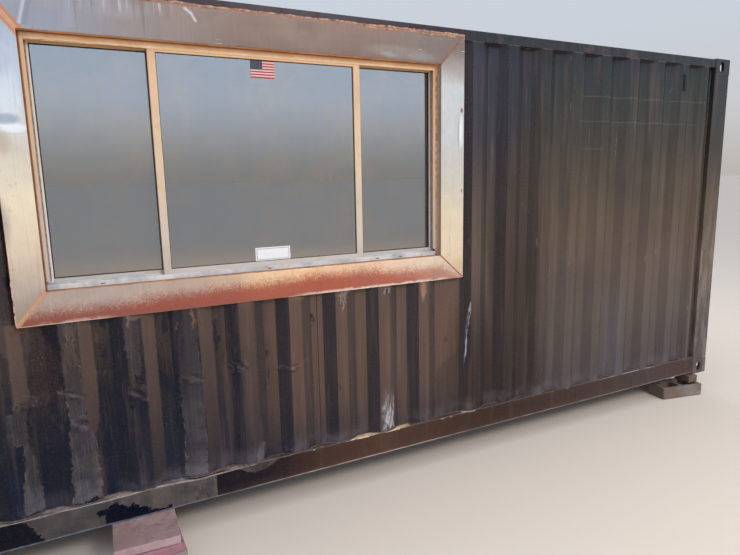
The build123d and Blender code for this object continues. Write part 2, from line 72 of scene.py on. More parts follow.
# ---------------------------------------------------------------------------
# node graphs
# ---------------------------------------------------------------------------
class G:
    def __init__(self, name, rough=0.5, metallic=0.0, spec=0.5):
        self.mat = bpy.data.materials.new(name)
        self.mat.use_nodes = True
        self.nt = self.mat.node_tree
        self.nt.nodes.clear()
        out = self.nt.nodes.new("ShaderNodeOutputMaterial")
        self.b = self.nt.nodes.new("ShaderNodeBsdfPrincipled")
        self.nt.links.new(self.b.outputs[0], out.inputs[0])
        self.co = self.new("ShaderNodeTexCoord").outputs["Object"]
        sep = self.new("ShaderNodeSeparateXYZ")
        self.nt.links.new(self.co, sep.inputs[0])
        self.x, self.y, self.z = sep.outputs
        self.b.inputs["Roughness"].default_value = rough
        self.b.inputs["Metallic"].default_value = metallic
        self.b.inputs["Specular IOR Level"].default_value = spec
        self._n = None

    def new(self, kind):
        return self.nt.nodes.new(kind)

    def put(self, sock, v):
        if isinstance(v, bpy.types.NodeSocket):
            self.nt.links.new(v, sock)
        elif v is not None:
            sock.default_value = v

    def m(self, op, a, b=None, c=None, clamp=False):
        n = self.new("ShaderNodeMath")
        n.operation = op
        n.use_clamp = clamp
        for i, v in enumerate((a, b, c)):
            if v is not None:
                self.put(n.inputs[i], v)
        return n.outputs[0]

    def add(self, a, b):
        return self.m("ADD", a, b)

    def sub(self, a, b):
        return self.m("SUBTRACT", a, b)

    def mul(self, a, b, clamp=False):
        return self.m("MULTIPLY", a, b, clamp=clamp)

    def mn(self, a, b):
        return self.m("MINIMUM", a, b)

    def mx(self, a, b):
        return self.m("MAXIMUM", a, b)

    def s(self, v, a, b):
        """Smooth step from 0 at a to 1 at b."""
        n = self.new("ShaderNodeMapRange")
        n.interpolation_type = "SMOOTHSTEP"
        n.clamp = False             # a smooth step stays within 0 and 1 by itself
        self.put(n.inputs["Value"], v)
        n.inputs["From Min"].default_value = a
        n.inputs["From Max"].default_value = b
        return n.outputs[0]

    def inv(self, v):
        return self.sub(1.0, v)

    def ramp(self, fac, stops, mode="LINEAR"):
        n = self.new("ShaderNodeValToRGB")
        r = n.color_ramp
        r.interpolation = mode
        while len(r.elements) > 1:
            r.elements.remove(r.elements[0])
        r.elements[0].position, r.elements[0].color = stops[0]
        for p, c in stops[1:]:
            r.elements.new(p).color = c
        self.put(n.inputs[0], fac)
        return n.outputs[0]

    def along(self, v, a, b, stops, mode="LINEAR"):
        """Colour ramp over v from a to b."""
        n = self.new("ShaderNodeMapRange")
        n.clamp = False             # the ramp holds its end colours beyond a and b
        self.put(n.inputs["Value"], v)
        n.inputs["From Min"].default_value = a
        n.inputs["From Max"].default_value = b
        return self.ramp(n.outputs[0], stops, mode)

    def vec(self, sx=1.0, sy=1.0, sz=1.0, ox=0.0, oy=0.0, oz=0.0, rot=None, v=None):
        n = self.new("ShaderNodeMapping")
        self.put(n.inputs["Vector"], self.co if v is None else v)
        n.inputs["Scale"].default_value = (sx, sy, sz)
        n.inputs["Location"].default_value = (ox, oy, oz)
        if rot:
            n.inputs["Rotation"].default_value = rot
        return n.outputs[0]

    def noise(self, scale, detail=3.0, rough=0.5, dist=0.0, v=None, off=0.0):
        n = self.new("ShaderNodeTexNoise")
        self.put(n.inputs["Vector"], self.vec(ox=off, oz=off * 0.7) if v is None and off
                 else (self.co if v is None else v))
        n.inputs["Scale"].default_value = scale
        n.inputs["Detail"].default_value = detail
        n.inputs["Roughness"].default_value = rough
        n.inputs["Distortion"].default_value = dist
        return n.outputs[0]

    def vor(self, scale, v=None, feature="F1", rand=1.0):
        n = self.new("ShaderNodeTexVoronoi")
        n.feature = feature
        self.put(n.inputs["Vector"], self.co if v is None else v)
        n.inputs["Scale"].default_value = scale
        n.inputs["Randomness"].default_value = rand
        return n.outputs["Distance"]

    def mix(self, fac, a, b, mode="MIX"):
        n = self.new("ShaderNodeMix")
        n.data_type = "RGBA"
        n.blend_type = mode
        self.put(n.inputs[0], fac)
        self.put(n.inputs[6], a)
        self.put(n.inputs[7], b)
        return n.outputs[2]

    def nx(self):
        """Sideways part of the surface direction, in the object's own frame."""
        if self._n is None:
            sep = self.new("ShaderNodeSeparateXYZ")
            self.nt.links.new(self.new("ShaderNodeTexCoord").outputs["Normal"], sep.inputs[0])
            self._n = sep.outputs
        return self._n

    def box(self, x, z, x0, x1, z0, z1, soft=0.006):
        """1 inside the level box, with a soft edge."""
        a = self.mn(self.sub(x, x0), self.sub(x1, x))
        b = self.mn(self.sub(z, z0), self.sub(z1, z))
        return self.s(self.mn(a, b), -soft, soft)

    def curve(self, v, pts):
        """Height at v of the polyline through pts, a list of (v, height)."""
        v0, v1 = pts[0][0], pts[-1][0]
        lo, hi = min(p[1] for p in pts), max(p[1] for p in pts)
        k = max(hi - lo, 1e-6)
        n = self.new("ShaderNodeMapRange")
        n.clamp = False
        self.put(n.inputs["Value"], v)
        n.inputs["From Min"].default_value = v0
        n.inputs["From Max"].default_value = v1
        r = self.ramp(n.outputs[0], [((a - v0) / (v1 - v0), ((h - lo) / k,) * 3 + (1.0,))
                                     for a, h in pts])
        return self.add(self.mul(r, k), lo)

    def strip(self, x, z, rows, soft=0.004):
        """1 inside an upright strip whose sides follow rows of (height, left, right)."""
        a = self.sub(x, self.curve(z, [(r[0], r[1]) for r in rows]))
        b = self.sub(self.curve(z, [(r[0], r[2]) for r in rows]), x)
        e = self.mn(self.sub(z, rows[0][0]), self.sub(rows[-1][0], z))
        return self.s(self.mn(self.mn(a, b), e), -soft, soft)

    def line(self, x, z, ax, az, bx, bz, w):
        """1 on the line through a and b, fading out over w."""
        dx, dz = bx - ax, bz - az
        d = math.hypot(dx, dz)
        nx, nz = -dz / d, dx / d
        v = self.add(self.mul(x, nx), self.mul(z, nz))
        v = self.m("ABSOLUTE", self.sub(v, ax * nx + az * nz))
        return self.inv(self.s(v, 0.0, w))

    def seg(self, x, z, ax, az, bx, bz, w):
        """1 on the stretch from a to b, fading out over w."""
        dx, dz = bx - ax, bz - az
        d2 = dx * dx + dz * dz
        px, pz = self.sub(x, ax), self.sub(z, az)
        t = self.add(self.mul(px, dx / d2), self.mul(pz, dz / d2))
        t = self.mn(self.mx(t, 0.0), 1.0)
        ex, ez = self.sub(px, self.mul(t, dx)), self.sub(pz, self.mul(t, dz))
        q = self.add(self.mul(ex, ex), self.mul(ez, ez))
        return self.inv(self.s(self.m("SQRT", q), 0.0, w))

    def colour(self, v):
        self.put(self.b.inputs["Base Color"], v)

    def rough(self, v):
        self.put(self.b.inputs["Roughness"], v)

    def bump(self, h, strength=0.5, dist=0.002, n=None):
        k = self.new("ShaderNodeBump")
        k.inputs["Strength"].default_value = strength
        k.inputs["Distance"].default_value = dist
        self.put(k.inputs["Height"], h)
        if n is not None:
            self.put(k.inputs["Normal"], n)
        self.put(self.b.inputs["Normal"], k.outputs[0])
        return k.outputs[0]


K = 0.92        # paint brightness against the tones measured on the wall

# knocks in the foot of the window wall: centre x, z, half sizes
KNOCKS = [
    (-2.020, 0.872, 0.085, 0.034), (-1.862, 0.892, 0.070, 0.026), (-1.825, 0.735, 0.040, 0.042),
    (-1.560, 0.838, 0.056, 0.060), (-1.292, 0.868, 0.062, 0.038), (-1.045, 0.892, 0.050, 0.040),
    (-0.735, 0.840, 0.090, 0.020), (-0.600, 1.090, 0.024, 0.034), (-0.820, 1.150, 0.020, 0.016),
    (-2.480, 0.870, 0.090, 0.040), (-2.240, 0.900, 0.060, 0.030)]


def paint(name, front=False, kind="wall", k=K, seed=0.0):
    """Dark container paint: dusty, streaked and scuffed, with painted reflection and shade. kind: wall, rail,
    frame, door.
    """
    g = G(name, rough=0.48, spec=0.10 if kind == "rail" else 0.20)
    x, z = g.x, g.z
    big = g.noise(1.1, 4, 0.55, off=3.1 + seed)
    mid = g.noise(6.0, 5, 0.6, off=7.7 + seed)
    fine = g.noise(90.0, 4, 0.65)
    streak = g.noise(1.0, 5, 0.62, v=g.vec(17, 17, 0.9, ox=seed))
    thin = g.noise(1.0, 3, 0.55, v=g.vec(75, 75, 1.6, ox=2.0 + seed))
    hair = g.noise(1.0, 2, 0.5, v=g.vec(190, 190, 2.6, ox=5.0 + seed))
    warp = g.mul(g.sub(mid, 0.5), 0.05)
    wx = g.add(x, warp)
    wz = g.add(z, g.mul(g.sub(g.noise(9.0, 6, 0.68, off=1.3), 0.5), 0.10))
    bz = g.add(z, g.mul(g.sub(big, 0.5), 0.8))
    # base tone, browner low and blue-grey high: painted reflection of the ground below and the sky above
    col = g.along(bz, 0.15, 2.75, [
        (0.00, C(72, 62, 61, k)), (0.115, C(80, 71, 69, k)), (0.25, C(91, 80, 72, k)),
        (0.365, C(97, 83, 73, k)), (0.56, C(89, 76, 63, k)), (0.75, C(60, 58, 50, k)),
        (0.90, C(42, 47, 47, k)), (1.00, C(36, 41, 46, k))])
    if front and kind == "wall":
        # painted shade and sky reflection in navy on the lower left, painted ground reflection in brown towards
        # the middle
        nx = g.nx()[0]
        midc = g.along(bz, 0.3, 1.25, [
            (0.0, C(60, 51, 53, k)), (0.10, C(68, 56, 55, k)), (0.28, C(86, 67, 59, k)),
            (0.6, C(98, 74, 61, k)), (1.0, C(101, 79, 67, k))])
        leftc = g.along(g.add(z, g.mul(g.sub(mid, 0.5), 0.75)), 0.3, 1.25, [
            (0.0, C(3, 17, 43, k)), (0.30, C(6, 15, 35, k)), (0.50, C(17, 18, 29, k)),
            (0.70, C(33, 28, 31, k)), (0.86, C(48, 39, 37, k)), (1.0, C(56, 45, 41, k))])
        low = g.mix(g.s(wx, -1.27, -0.64), leftc, midc)
        col = g.mix(g.s(x, 0.40, 0.60), low, col)
        # painted shade: a darker band of panels beside the window, and darker towards its foot
        dark = g.mul(g.s(wx, 0.60, 0.72), g.inv(g.s(wx, 1.00, 1.25)))
        dark = g.mul(dark, g.inv(g.mul(g.s(z, 1.0, 2.2), 0.50)))
        foot = g.mul(g.inv(g.s(wz, 0.75, 1.40)), g.mul(g.s(wx, 0.28, 0.50), g.inv(g.s(wx, 1.0, 1.3))))
        dark = g.mx(g.mul(dark, 0.74), g.mul(foot, 0.78))
        col = g.mix(dark, col, C(35, 21, 14, k))
        # painted sky reflection: bluer high up, left of about x 1.2
        blue = g.mul(g.inv(g.s(x, 0.50, 1.20)), g.s(wz, 1.35, 2.40))
        col = g.mix(g.mul(blue, 0.60), col, C(44, 50, 70, k))
        # painted shade and reflection by facing: slopes that face the left are dark, the others a little darker
        near = g.inv(g.s(x, 0.45, 1.25))
        tone = g.mix(g.s(x, -1.3, 0.2), C(10, 17, 34, k), C(36, 33, 38, k))
        away = g.mul(g.s(nx, -0.10, -0.38), g.add(0.14, g.mul(near, 0.72)))
        col = g.mix(away, col, tone)
        other = g.mul(g.s(nx, 0.10, 0.38), g.add(0.05, g.mul(near, 0.56)))
        col = g.mix(other, col, C(42, 37, 38, k))
    # tonal drift, streaks
    col = g.mix(g.mul(g.s(big, 0.42, 0.68), 0.25), col, C(54, 50, 55, k))
    col = g.mix(g.mul(g.s(streak, 0.50, 0.72), 0.20), col, C(132, 108, 94, k))
    col = g.mix(g.mul(g.s(thin, 0.56, 0.75), 0.07), col, C(144, 124, 112, k))
    col = g.mix(g.mul(g.s(thin, 0.46, 0.28), 0.16), col, C(40, 36, 42, k))
    col = g.mix(g.mul(g.s(hair, 0.56, 0.74), 0.06), col, C(150, 136, 130, k))
    col = g.mix(g.mul(g.s(hair, 0.44, 0.26), 0.10), col, C(30, 28, 34, k))
    if front and kind == "wall":
        # paint flaked to its grey primer, in upright strips with ragged edges
        jag = g.mul(g.sub(g.noise(24.0, 6, 0.72, off=5.0), 0.5), 0.060)
        px_, pz_ = g.add(x, jag), g.add(wz, jag)
        flaked = None
        for rows in (
                ((0.325, -2.104, -2.018), (0.45, -2.094, -2.024), (0.56, -2.076, -2.030),
                 (0.66, -2.072, -2.044), (0.72, -2.080, -2.050), (0.80, -2.092, -2.046),
                 (0.88, -2.088, -2.032)),
                ((0.68, -2.098, -2.080), (0.75, -2.118, -2.082), (0.84, -2.126, -2.098)),
                ((0.325, -1.897, -1.762), (0.42, -1.886, -1.758), (0.55, -1.881, -1.762),
                 (0.66, -1.879, -1.768), (0.72, -1.874, -1.798), (0.95, -1.876, -1.802),
                 (1.10, -1.882, -1.804), (1.26, -1.884, -1.806)),
                ((0.93, -1.572, -1.540), (1.00, -1.590, -1.532), (1.10, -1.602, -1.530),
                 (1.20, -1.606, -1.526), (1.245, -1.600, -1.516)),
                ((0.325, -1.354, -1.244), (0.50, -1.350, -1.238), (0.65, -1.345, -1.242),
                 (0.80, -1.352, -1.232), (0.90, -1.352, -1.238), (1.00, -1.345, -1.250),
                 (1.26, -1.347, -1.256)),
                ((0.32, -0.975, -0.935), (0.40, -0.962, -0.925), (0.56, -0.950, -0.934)),
                ((0.32, -2.47, -2.35), (0.60, -2.45, -2.38), (0.76, -2.43, -2.40)),
                ((0.32, -2.76, -2.66), (0.80, -2.74, -2.67), (1.08, -2.73, -2.69))):
            b = g.strip(px_, pz_, rows, 0.004)
            flaked = b if flaked is None else g.mx(flaked, b)
        primer = g.mix(g.s(streak, 0.35, 0.65), C(60, 58, 61, k), C(86, 80, 78, k))
        primer = g.mix(g.s(mid, 0.42, 0.62), primer, C(55, 53, 58, k))
        primer = g.mix(g.mul(g.s(z, 0.62, 0.95), 0.60), primer, C(56, 48, 45, k))
        primer = g.mix(g.mul(g.s(thin, 0.50, 0.66), 0.42), primer, C(52, 52, 60, k))
        primer = g.mix(g.mul(g.s(hair, 0.52, 0.68), 0.26), primer, C(112, 106, 104, k))
        primer = g.mix(g.mul(g.s(hair, 0.46, 0.32), 0.24), primer, C(46, 44, 50, k))
        primer = g.mix(g.mul(g.s(x, -1.62, -1.40), 0.50), primer, C(52, 50, 56, k))
        primer = g.mix(g.mul(g.mul(g.s(wz, 0.72, 0.80), g.s(x, -1.62, -1.40)), 0.55), primer,
                       C(44, 40, 44, k))
        primer = g.mix(g.mul(g.s(wz, 0.84, 0.92), g.mul(g.inv(g.s(x, -1.80, -1.70)), 0.50)), primer,
                       C(52, 45, 44, k))
        primer = g.mix(g.mul(g.box(x, wz, -2.14, -2.0, 0.67, 0.90, 0.02), 0.55), primer,
                       C(46, 40, 42, k))
        primer = g.mix(g.mul(g.inv(g.s(wz, 0.36, 0.48)), 0.42), primer, C(112, 108, 112, k))
        solid = g.add(0.55, g.mul(g.s(g.noise(13.0, 5, 0.6, off=15.0), 0.36, 0.56), 0.40))
        rim = g.mul(flaked, g.inv(flaked))
        broken = g.s(g.noise(16.0, 4, 0.6, off=31.0), 0.52, 0.66)
        col = g.mix(g.mul(flaked, solid), col, primer)
        col = g.mix(g.mul(g.mul(rim, broken), 1.8), col, C(148, 128, 114, k))
        # blotches of deeper blue-black and of brown, with torn edges
        blot = g.noise(1.0, 7, 0.66, dist=0.35, v=g.vec(9.5, 9.5, 2.7, ox=4.1, oz=2.0))
        lz = g.inv(g.s(x, -1.25, -0.75))
        col = g.mix(g.mul(g.mul(g.s(blot, 0.520, 0.575), lz), g.mul(g.inv(flaked), 0.80)),
                    col, C(8, 15, 34, k))
        col = g.mix(g.mul(g.mul(g.s(blot, 0.450, 0.390), lz), g.mul(g.s(z, 0.55, 1.0), 0.45)),
                    col, C(92, 74, 64, k))
        # a blue-black tongue under the plate, and a reddish speckled patch beside it
        ton = g.strip(px_, wz, ((1.04, -1.886, -1.878), (1.12, -1.908, -1.876),
                                (1.19, -1.940, -1.882), (1.26, -1.965, -1.884)), 0.006)
        col = g.mix(g.mul(ton, 0.85), col, C(10, 13, 24, k))
        red = g.mul(g.box(px_, wz, -2.015, -1.905, 0.86, 1.15, 0.03), g.inv(ton))
        col = g.mix(g.mul(red, 0.55), col, C(44, 30, 30, k))
        freck = g.mul(g.s(g.noise(170.0, 3, 0.7), 0.56, 0.66), g.mul(lz, g.s(z, 0.74, 1.0)))
        freck = g.mul(freck, g.add(0.18, g.mul(red, 0.82)))
        col = g.mix(g.mul(freck, 0.62), col, C(120, 78, 70, k))
        # brown upright strips where the paint has thinned
        worn = None
        for rows in (
                ((0.88, -2.090, -2.024), (1.05, -2.090, -2.030), (1.26, -2.088, -2.034)),
                ((0.67, -1.786, -1.756), (0.74, -1.792, -1.744), (0.82, -1.796, -1.738),
                 (0.92, -1.798, -1.736),
                 (1.26, -1.798, -1.740)),
                ((0.33, -1.512, -1.452), (0.60, -1.512, -1.450), (1.26, -1.517, -1.450)),
                ((0.33, -1.236, -1.160), (0.90, -1.238, -1.162), (1.26, -1.246, -1.166)),
                ((0.40, -1.014, -0.950), (0.70, -1.020, -0.944), (1.26, -1.018, -0.940))):
            b = g.strip(g.add(x, g.mul(jag, 0.25)), wz, rows, 0.006)
            worn = b if worn is None else g.mx(worn, b)
        wt = g.along(z, 0.32, 1.25, [
            (0.0, C(44, 38, 44, k)), (0.25, C(60, 49, 50, k)), (0.55, C(84, 67, 60, k)),
            (1.0, C(100, 79, 68, k))])
        col = g.mix(g.mul(worn, g.sub(0.72, g.mul(g.s(x, -1.10, -1.03), 0.26))), col, wt)
        # pale patch near the foot of one outer flat
        pale_patch = g.box(g.add(px_, -0.012), wz, -0.176, -0.094, 0.33, 0.600, 0.018)
        pale_patch = g.mul(pale_patch, g.s(g.noise(1.0, 5, 0.7, v=g.vec(60, 60, 14)), 0.38, 0.62))
        col = g.mix(g.mul(pale_patch, g.inv(g.s(z, 0.38, 0.62))), col, C(190, 186, 186, k))
        # heat marks from the welds behind the surround; the dark entries at -1.045 and -0.60 are painted shade in
        # small dents, those at -0.875 dark smudges
        for cx, cz, rx, rz, tone in (
                (-1.269, 1.195, 0.006, 0.050, C(116, 84, 66, k)),
                (-2.02, 1.225, 0.05, 0.022, C(92, 62, 54, k)),
                (-1.846, 1.180, 0.004, 0.050, C(118, 92, 72, k)),
                (-1.820, 1.160, 0.0035, 0.035, C(104, 84, 70, k)),
                (-1.836, 1.205, 0.022, 0.030, C(86, 72, 64, k)),
                (-0.878, 0.925, 0.007, 0.032, C(34, 27, 27, k)),
                (-0.873, 0.805, 0.006, 0.022, C(38, 30, 29, k)),
                (-1.045, 0.900, 0.030, 0.030, C(16, 18, 26, k)),
                (-0.604, 1.112, 0.008, 0.012, C(24, 20, 22, k)),
                (-0.595, 1.078, 0.010, 0.008, C(28, 23, 24, k)),
                (-0.432, 1.205, 0.0035, 0.030, C(142, 124, 112, k)),
                (-0.420, 1.165, 0.0045, 0.040, C(158, 136, 118, k)),
                (-0.406, 1.200, 0.0035, 0.038, C(150, 132, 118, k)),
                (-0.396, 1.215, 0.0030, 0.020, C(134, 118, 108, k)),
                (-0.425, 1.218, 0.024, 0.008, C(122, 108, 100, k)),
                (-0.370, 1.226, 0.030, 0.006, C(112, 98, 92, k)),
                (0.130, 1.178, 0.020, 0.064, C(160, 122, 98, k)),
                (-1.572, 1.208, 0.006, 0.030, C(120, 100, 86, k)),
                (-1.545, 1.220, 0.026, 0.009, C(108, 92, 82, k)),
                (-0.700, 1.218, 0.040, 0.008, C(108, 84, 70, k))):
            dx = g.mul(g.sub(px_, cx), 1.0 / rx)
            dz = g.mul(g.sub(wz, cz), 1.0 / rz)
            q = g.add(g.mul(dx, dx), g.mul(dz, dz))
            col = g.mix(g.mul(g.inv(g.s(q, 0.15, 1.8)), 0.80), col, tone)
        # bright streak down the edge of a slope beside the window
        scr = g.strip(g.add(x, g.mul(jag, 0.22)), z, (
            (0.66, 0.458, 0.462), (0.72, 0.462, 0.472), (0.80, 0.466, 0.476), (0.85, 0.470, 0.474),
            (0.90, 0.468, 0.482), (1.00, 0.480, 0.496), (1.07, 0.494, 0.498)), 0.004)
        scr = g.mul(scr, g.s(g.noise(1.0, 4, 0.7, v=g.vec(60, 60, 12)), 0.36, 0.56))
        col = g.mix(g.mul(scr, 0.75), col, C(176, 176, 186, k))
        # a small dark hole with a grey square round it
        col = g.mix(g.mul(g.box(px_, wz, -0.150, -0.104, 1.186, 1.224, 0.004), 0.55),
                    col, C(140, 132, 128, k))
        col = g.mix(g.box(x, z, -0.133, -0.123, 1.190, 1.222, 0.002), col, C(14, 12, 12, k))
        # upright seam weld, ground flush
        seam = g.inv(g.s(g.m("ABSOLUTE", g.sub(x, -0.5695)), 0.0010, 0.0046))
        col = g.mix(g.mul(seam, 0.85), col, C(36, 29, 30, k))
        # dust and haze above the rail
        haze = g.mul(g.inv(g.s(wz, 0.32, 0.44)), g.s(mid, 0.38, 0.62))
        col = g.mix(g.mul(haze, g.add(0.18, g.mul(g.s(x, -1.95, -1.30), 0.22))), col,
                    C(112, 104, 108, k))
        # dark smudges, freckles and a darker patch below the surround's right corner
        smud = g.mul(g.s(g.noise(9.0, 4, 0.6, dist=0.6, off=11.0), 0.56, 0.66), 0.55)
        smud = g.mul(smud, g.mul(g.box(wx, wz, 0.02, 0.44, 0.55, 1.10, 0.10), 1.0))
        col = g.mix(smud, col, C(48, 40, 40, k))
        flk = g.mul(g.s(g.noise(110.0, 3, 0.7, off=6.0), 0.52, 0.64),
                    g.box(wx, wz, 0.33, 0.44, 0.97, 1.20, 0.05))
        col = g.mix(g.mul(flk, 0.42), col, C(128, 92, 76, k))
        low = g.strip(wx, wz, ((0.33, 0.225, 0.470), (0.62, 0.245, 0.470), (0.69, 0.32, 0.470),
                               (0.74, 0.44, 0.470)), 0.012)
        col = g.mix(g.mul(low, 0.38), col, C(56, 42, 38, k))
        # knocked creases in loose curls, with painted highlights on the ridges and painted shade in the hollows
        cr = g.noise(1.0, 3, 0.5, dist=1.1, v=g.vec(6.5, 6.5, 12.0, ox=1.7, oz=0.4))
        win = None
        for cx, cz, rx, rz in KNOCKS:
            dx = g.mul(g.sub(x, cx), 1.0 / rx)
            dz = g.mul(g.sub(z, cz), 1.0 / rz)
            q = g.inv(g.s(g.add(g.mul(dx, dx), g.mul(dz, dz)), 0.35, 1.5))
            win = q if win is None else g.mx(win, q)
        ridge = g.inv(g.s(g.m("ABSOLUTE", g.sub(cr, 0.505)), 0.004, 0.050))
        hollow = g.inv(g.s(g.m("ABSOLUTE", g.sub(cr, 0.430)), 0.0, 0.060))
        col = g.mix(g.mul(g.mul(win, hollow), 0.40), col, C(16, 17, 24, k))
        col = g.mix(g.mul(g.mul(win, ridge), g.mul(g.s(mid, 0.38, 0.58), 0.22)), col,
                    C(120, 104, 100, k))
        sx = g.add(x, g.mul(g.sub(cr, 0.5), 0.055))
        sz = g.add(z, g.mul(g.sub(g.noise(19.0, 4, 0.62, off=17.0), 0.5), 0.075))
        fade = g.s(g.noise(24.0, 4, 0.6, off=19.0), 0.38, 0.60)
        # painted highlights and painted shade along single creases
        for ax, az, bx, bz, w, tone, amount in (
                (-2.070, 0.872, -1.960, 0.885, 0.030, C(74, 59, 54, k), 0.75),
                (-2.060, 0.845, -1.990, 0.850, 0.014, C(24, 20, 24, k), 0.80),
                (-2.085, 0.897, -2.000, 0.893, 0.008, C(103, 87, 82, k), 0.45),
                (-1.910, 0.908, -1.805, 0.868, 0.010, C(105, 91, 87, k), 0.62),
                (-1.900, 0.885, -1.820, 0.852, 0.014, C(22, 20, 26, k), 0.75),
                (-1.850, 0.745, -1.800, 0.700, 0.011, C(100, 87, 84, k), 0.62),
                (-1.835, 0.715, -1.795, 0.760, 0.010, C(38, 33, 36, k), 0.75),
                (-1.815, 0.775, -1.750, 0.735, 0.009, C(83, 67, 62, k), 0.50),
                (-1.590, 0.850, -1.520, 0.800, 0.012, C(89, 79, 79, k), 0.62),
                (-1.580, 0.880, -1.515, 0.872, 0.009, C(86, 74, 72, k), 0.55),
                (-1.600, 0.868, -1.530, 0.835, 0.016, C(14, 14, 22, k), 0.80),
                (-1.340, 0.885, -1.235, 0.846, 0.012, C(101, 87, 82, k), 0.62),
                (-1.335, 0.860, -1.250, 0.826, 0.013, C(28, 24, 28, k), 0.70),
                (-1.060, 0.940, -1.000, 0.870, 0.012, C(14, 16, 24, k), 0.70),
                (-0.800, 0.850, -0.745, 0.824, 0.006, C(83, 76, 79, k), 0.60),
                (-0.740, 0.832, -0.640, 0.868, 0.007, C(96, 84, 77, k), 0.45),
                (-0.760, 0.818, -0.725, 0.812, 0.008, C(26, 20, 24, k), 0.70),
                (-0.470, 0.690, -0.455, 0.650, 0.010, C(34, 26, 28, k), 0.50)):
            st = g.mul(g.seg(sx, sz, ax, az, bx, bz, w * 1.25), g.add(0.25, g.mul(fade, 0.75)))
            col = g.mix(g.mul(st, amount), col, tone)
        # two faint level lines and a bluer strip on the right half
        for lz_, xa, xb in ((2.412, 1.42, 2.78), (2.242, 1.40, 2.70), (2.052, 1.44, 1.64)):
            ln = g.box(x, g.add(z, g.mul(g.sub(mid, 0.5), 0.004)), xa, xb, lz_ - 0.003, lz_ + 0.003,
                       0.003)
            ln = g.mul(ln, g.add(0.13, g.mul(g.s(streak, 0.40, 0.66), 0.20)))
            col = g.mix(ln, col, C(132, 126, 118, k))
        bl = g.mul(g.box(wx, wz, 1.80, 1.95, 0.20, 1.25, 0.035), g.inv(g.s(z, 0.6, 1.15)))
        col = g.mix(g.mul(bl, 0.26), col, C(88, 98, 110, k))
        # painted shade under the top rail
        col = g.mix(g.mul(g.s(z, 2.56, 2.67), g.mul(g.s(x, 0.42, 0.46), 0.40)), col, C(26, 29, 36, k))
        # painted sunlight: thin slanted pale flecks on the right half, as from sun through leaves
        sv = g.vec(60, 60, 7.5, rot=(0, math.radians(-16), 0))
        sc = g.mul(g.s(g.noise(1.0, 2, 0.5, v=sv), 0.66, 0.78),
                   g.s(g.noise(2.6, 2, 0.5, off=9.0), 0.50, 0.60))
        col = g.mix(g.mul(g.mul(sc, g.s(x, 0.35, 0.75)), 0.28), col, C(170, 166, 166, k))
    if front and kind == "rail":
        jag = g.mul(g.sub(g.noise(26.0, 6, 0.72, off=5.0), 0.5), 0.050)
        px_, pz_ = g.add(x, g.mul(jag, 1.6)), g.add(z, jag)
        # painted shade and reflection: navy-black on the left to brown on the right, as on the wall above
        tone = g.along(g.add(x, g.mul(g.sub(mid, 0.5), 0.25)), -2.4, 2.8, [
            (0.00, C(2, 7, 22, k)), (0.14, C(4, 9, 23, k)), (0.18, C(9, 12, 25, k)),
            (0.235, C(18, 15, 24, k)),
            (0.29, C(28, 22, 27, k)), (0.345, C(66, 45, 37, k)), (0.42, C(79, 54, 43, k)),
            (0.52, C(68, 48, 38, k)), (0.60, C(58, 41, 33, k)), (0.77, C(66, 52, 47, k)),
            (0.92, C(72, 59, 57, k)), (1.00, C(68, 51, 42, k))])
        here = g.inv(g.s(g.y, -0.1, 0.1))
        col = g.mix(g.mul(here, 0.96), col, tone)
        nick = g.mul(g.sub(g.noise(62.0, 3, 0.65, off=13.0), 0.5), 0.095)
        jag = g.add(jag, nick)
        olive = g.strip(g.add(x, g.mul(jag, g.mul(g.inv(g.s(x, -1.9, -1.7)), 0.65))), z, (
            (0.10, -2.020, -1.203), (0.172, -2.028, -1.203), (0.225, -2.052, -1.204),
            (0.29, -2.100, -1.203), (0.33, -2.125, -1.203)), 0.003)
        half = g.sub(z, g.curve(g.add(x, g.mul(jag, 0.12)), [
            (-1.10, 0.330), (-1.065, 0.298), (-1.03, 0.275), (-0.99, 0.262), (-0.94, 0.266),
            (-0.90, 0.281), (-0.86, 0.300), (-0.82, 0.330)]))
        half = g.mul(g.s(half, -0.003, 0.003), g.box(x, z, -1.09, -0.83, 0.2, 0.4, 0.003))
        patch = g.sub(g.curve(g.add(x, g.mul(jag, 0.40)), [
            (-1.768, 0.10), (-1.760, 0.225), (-1.752, 0.262), (-1.735, 0.280), (-1.722, 0.284),
            (-1.705, 0.292), (-1.690, 0.270), (-1.66, 0.250), (-1.645, 0.246), (-1.63, 0.264),
            (-1.60, 0.236), (-1.56, 0.222), (-1.54, 0.198), (-1.47, 0.196), (-1.445, 0.208),
            (-1.438, 0.10)]), g.add(z, g.mul(jag, 0.48)))
        knob = g.seg(g.add(x, g.mul(nick, 0.45)), g.add(z, g.mul(nick, 0.30)),
                     -1.786, 0.249, -1.740, 0.252, 0.030)
        patch = g.mul(g.mx(g.s(patch, -0.002, 0.002), g.s(knob, 0.42, 0.56)), here)
        half = g.mul(half, g.add(0.30, g.mul(g.s(mid, 0.36, 0.56), 0.35)))
        olive = g.mul(g.mx(olive, half), g.mul(here, g.inv(patch)))
        tone = g.mix(g.s(mid, 0.38, 0.62), C(74, 69, 67, k), C(102, 93, 86, k))
        tone = g.mix(g.mul(g.inv(g.s(x, -1.98, -1.80)), 0.40), tone, C(60, 56, 60, k))
        tone = g.mix(g.mul(g.s(streak, 0.45, 0.62), 0.5), tone, C(66, 62, 66, k))
        col = g.mix(g.mul(olive, 0.94), col, tone)
        col = g.mix(g.mul(patch, 0.98), col, C(5, 12, 30, k))
        rim = g.mul(g.mul(olive, g.inv(olive)), g.mul(g.s(x, -1.10, -1.16), 1.2))
        col = g.mix(rim, col, C(122, 112, 106, k))
        tick = g.mx(g.box(x, z, -1.317, -1.309, 0.188, 0.203, 0.002),
                    g.box(g.add(x, g.mul(z, 0.2)), z, -1.216, -1.212, 0.185, 0.215, 0.002))
        col = g.mix(g.mul(g.mul(tick, here), 0.85), col, C(22, 18, 18, k))
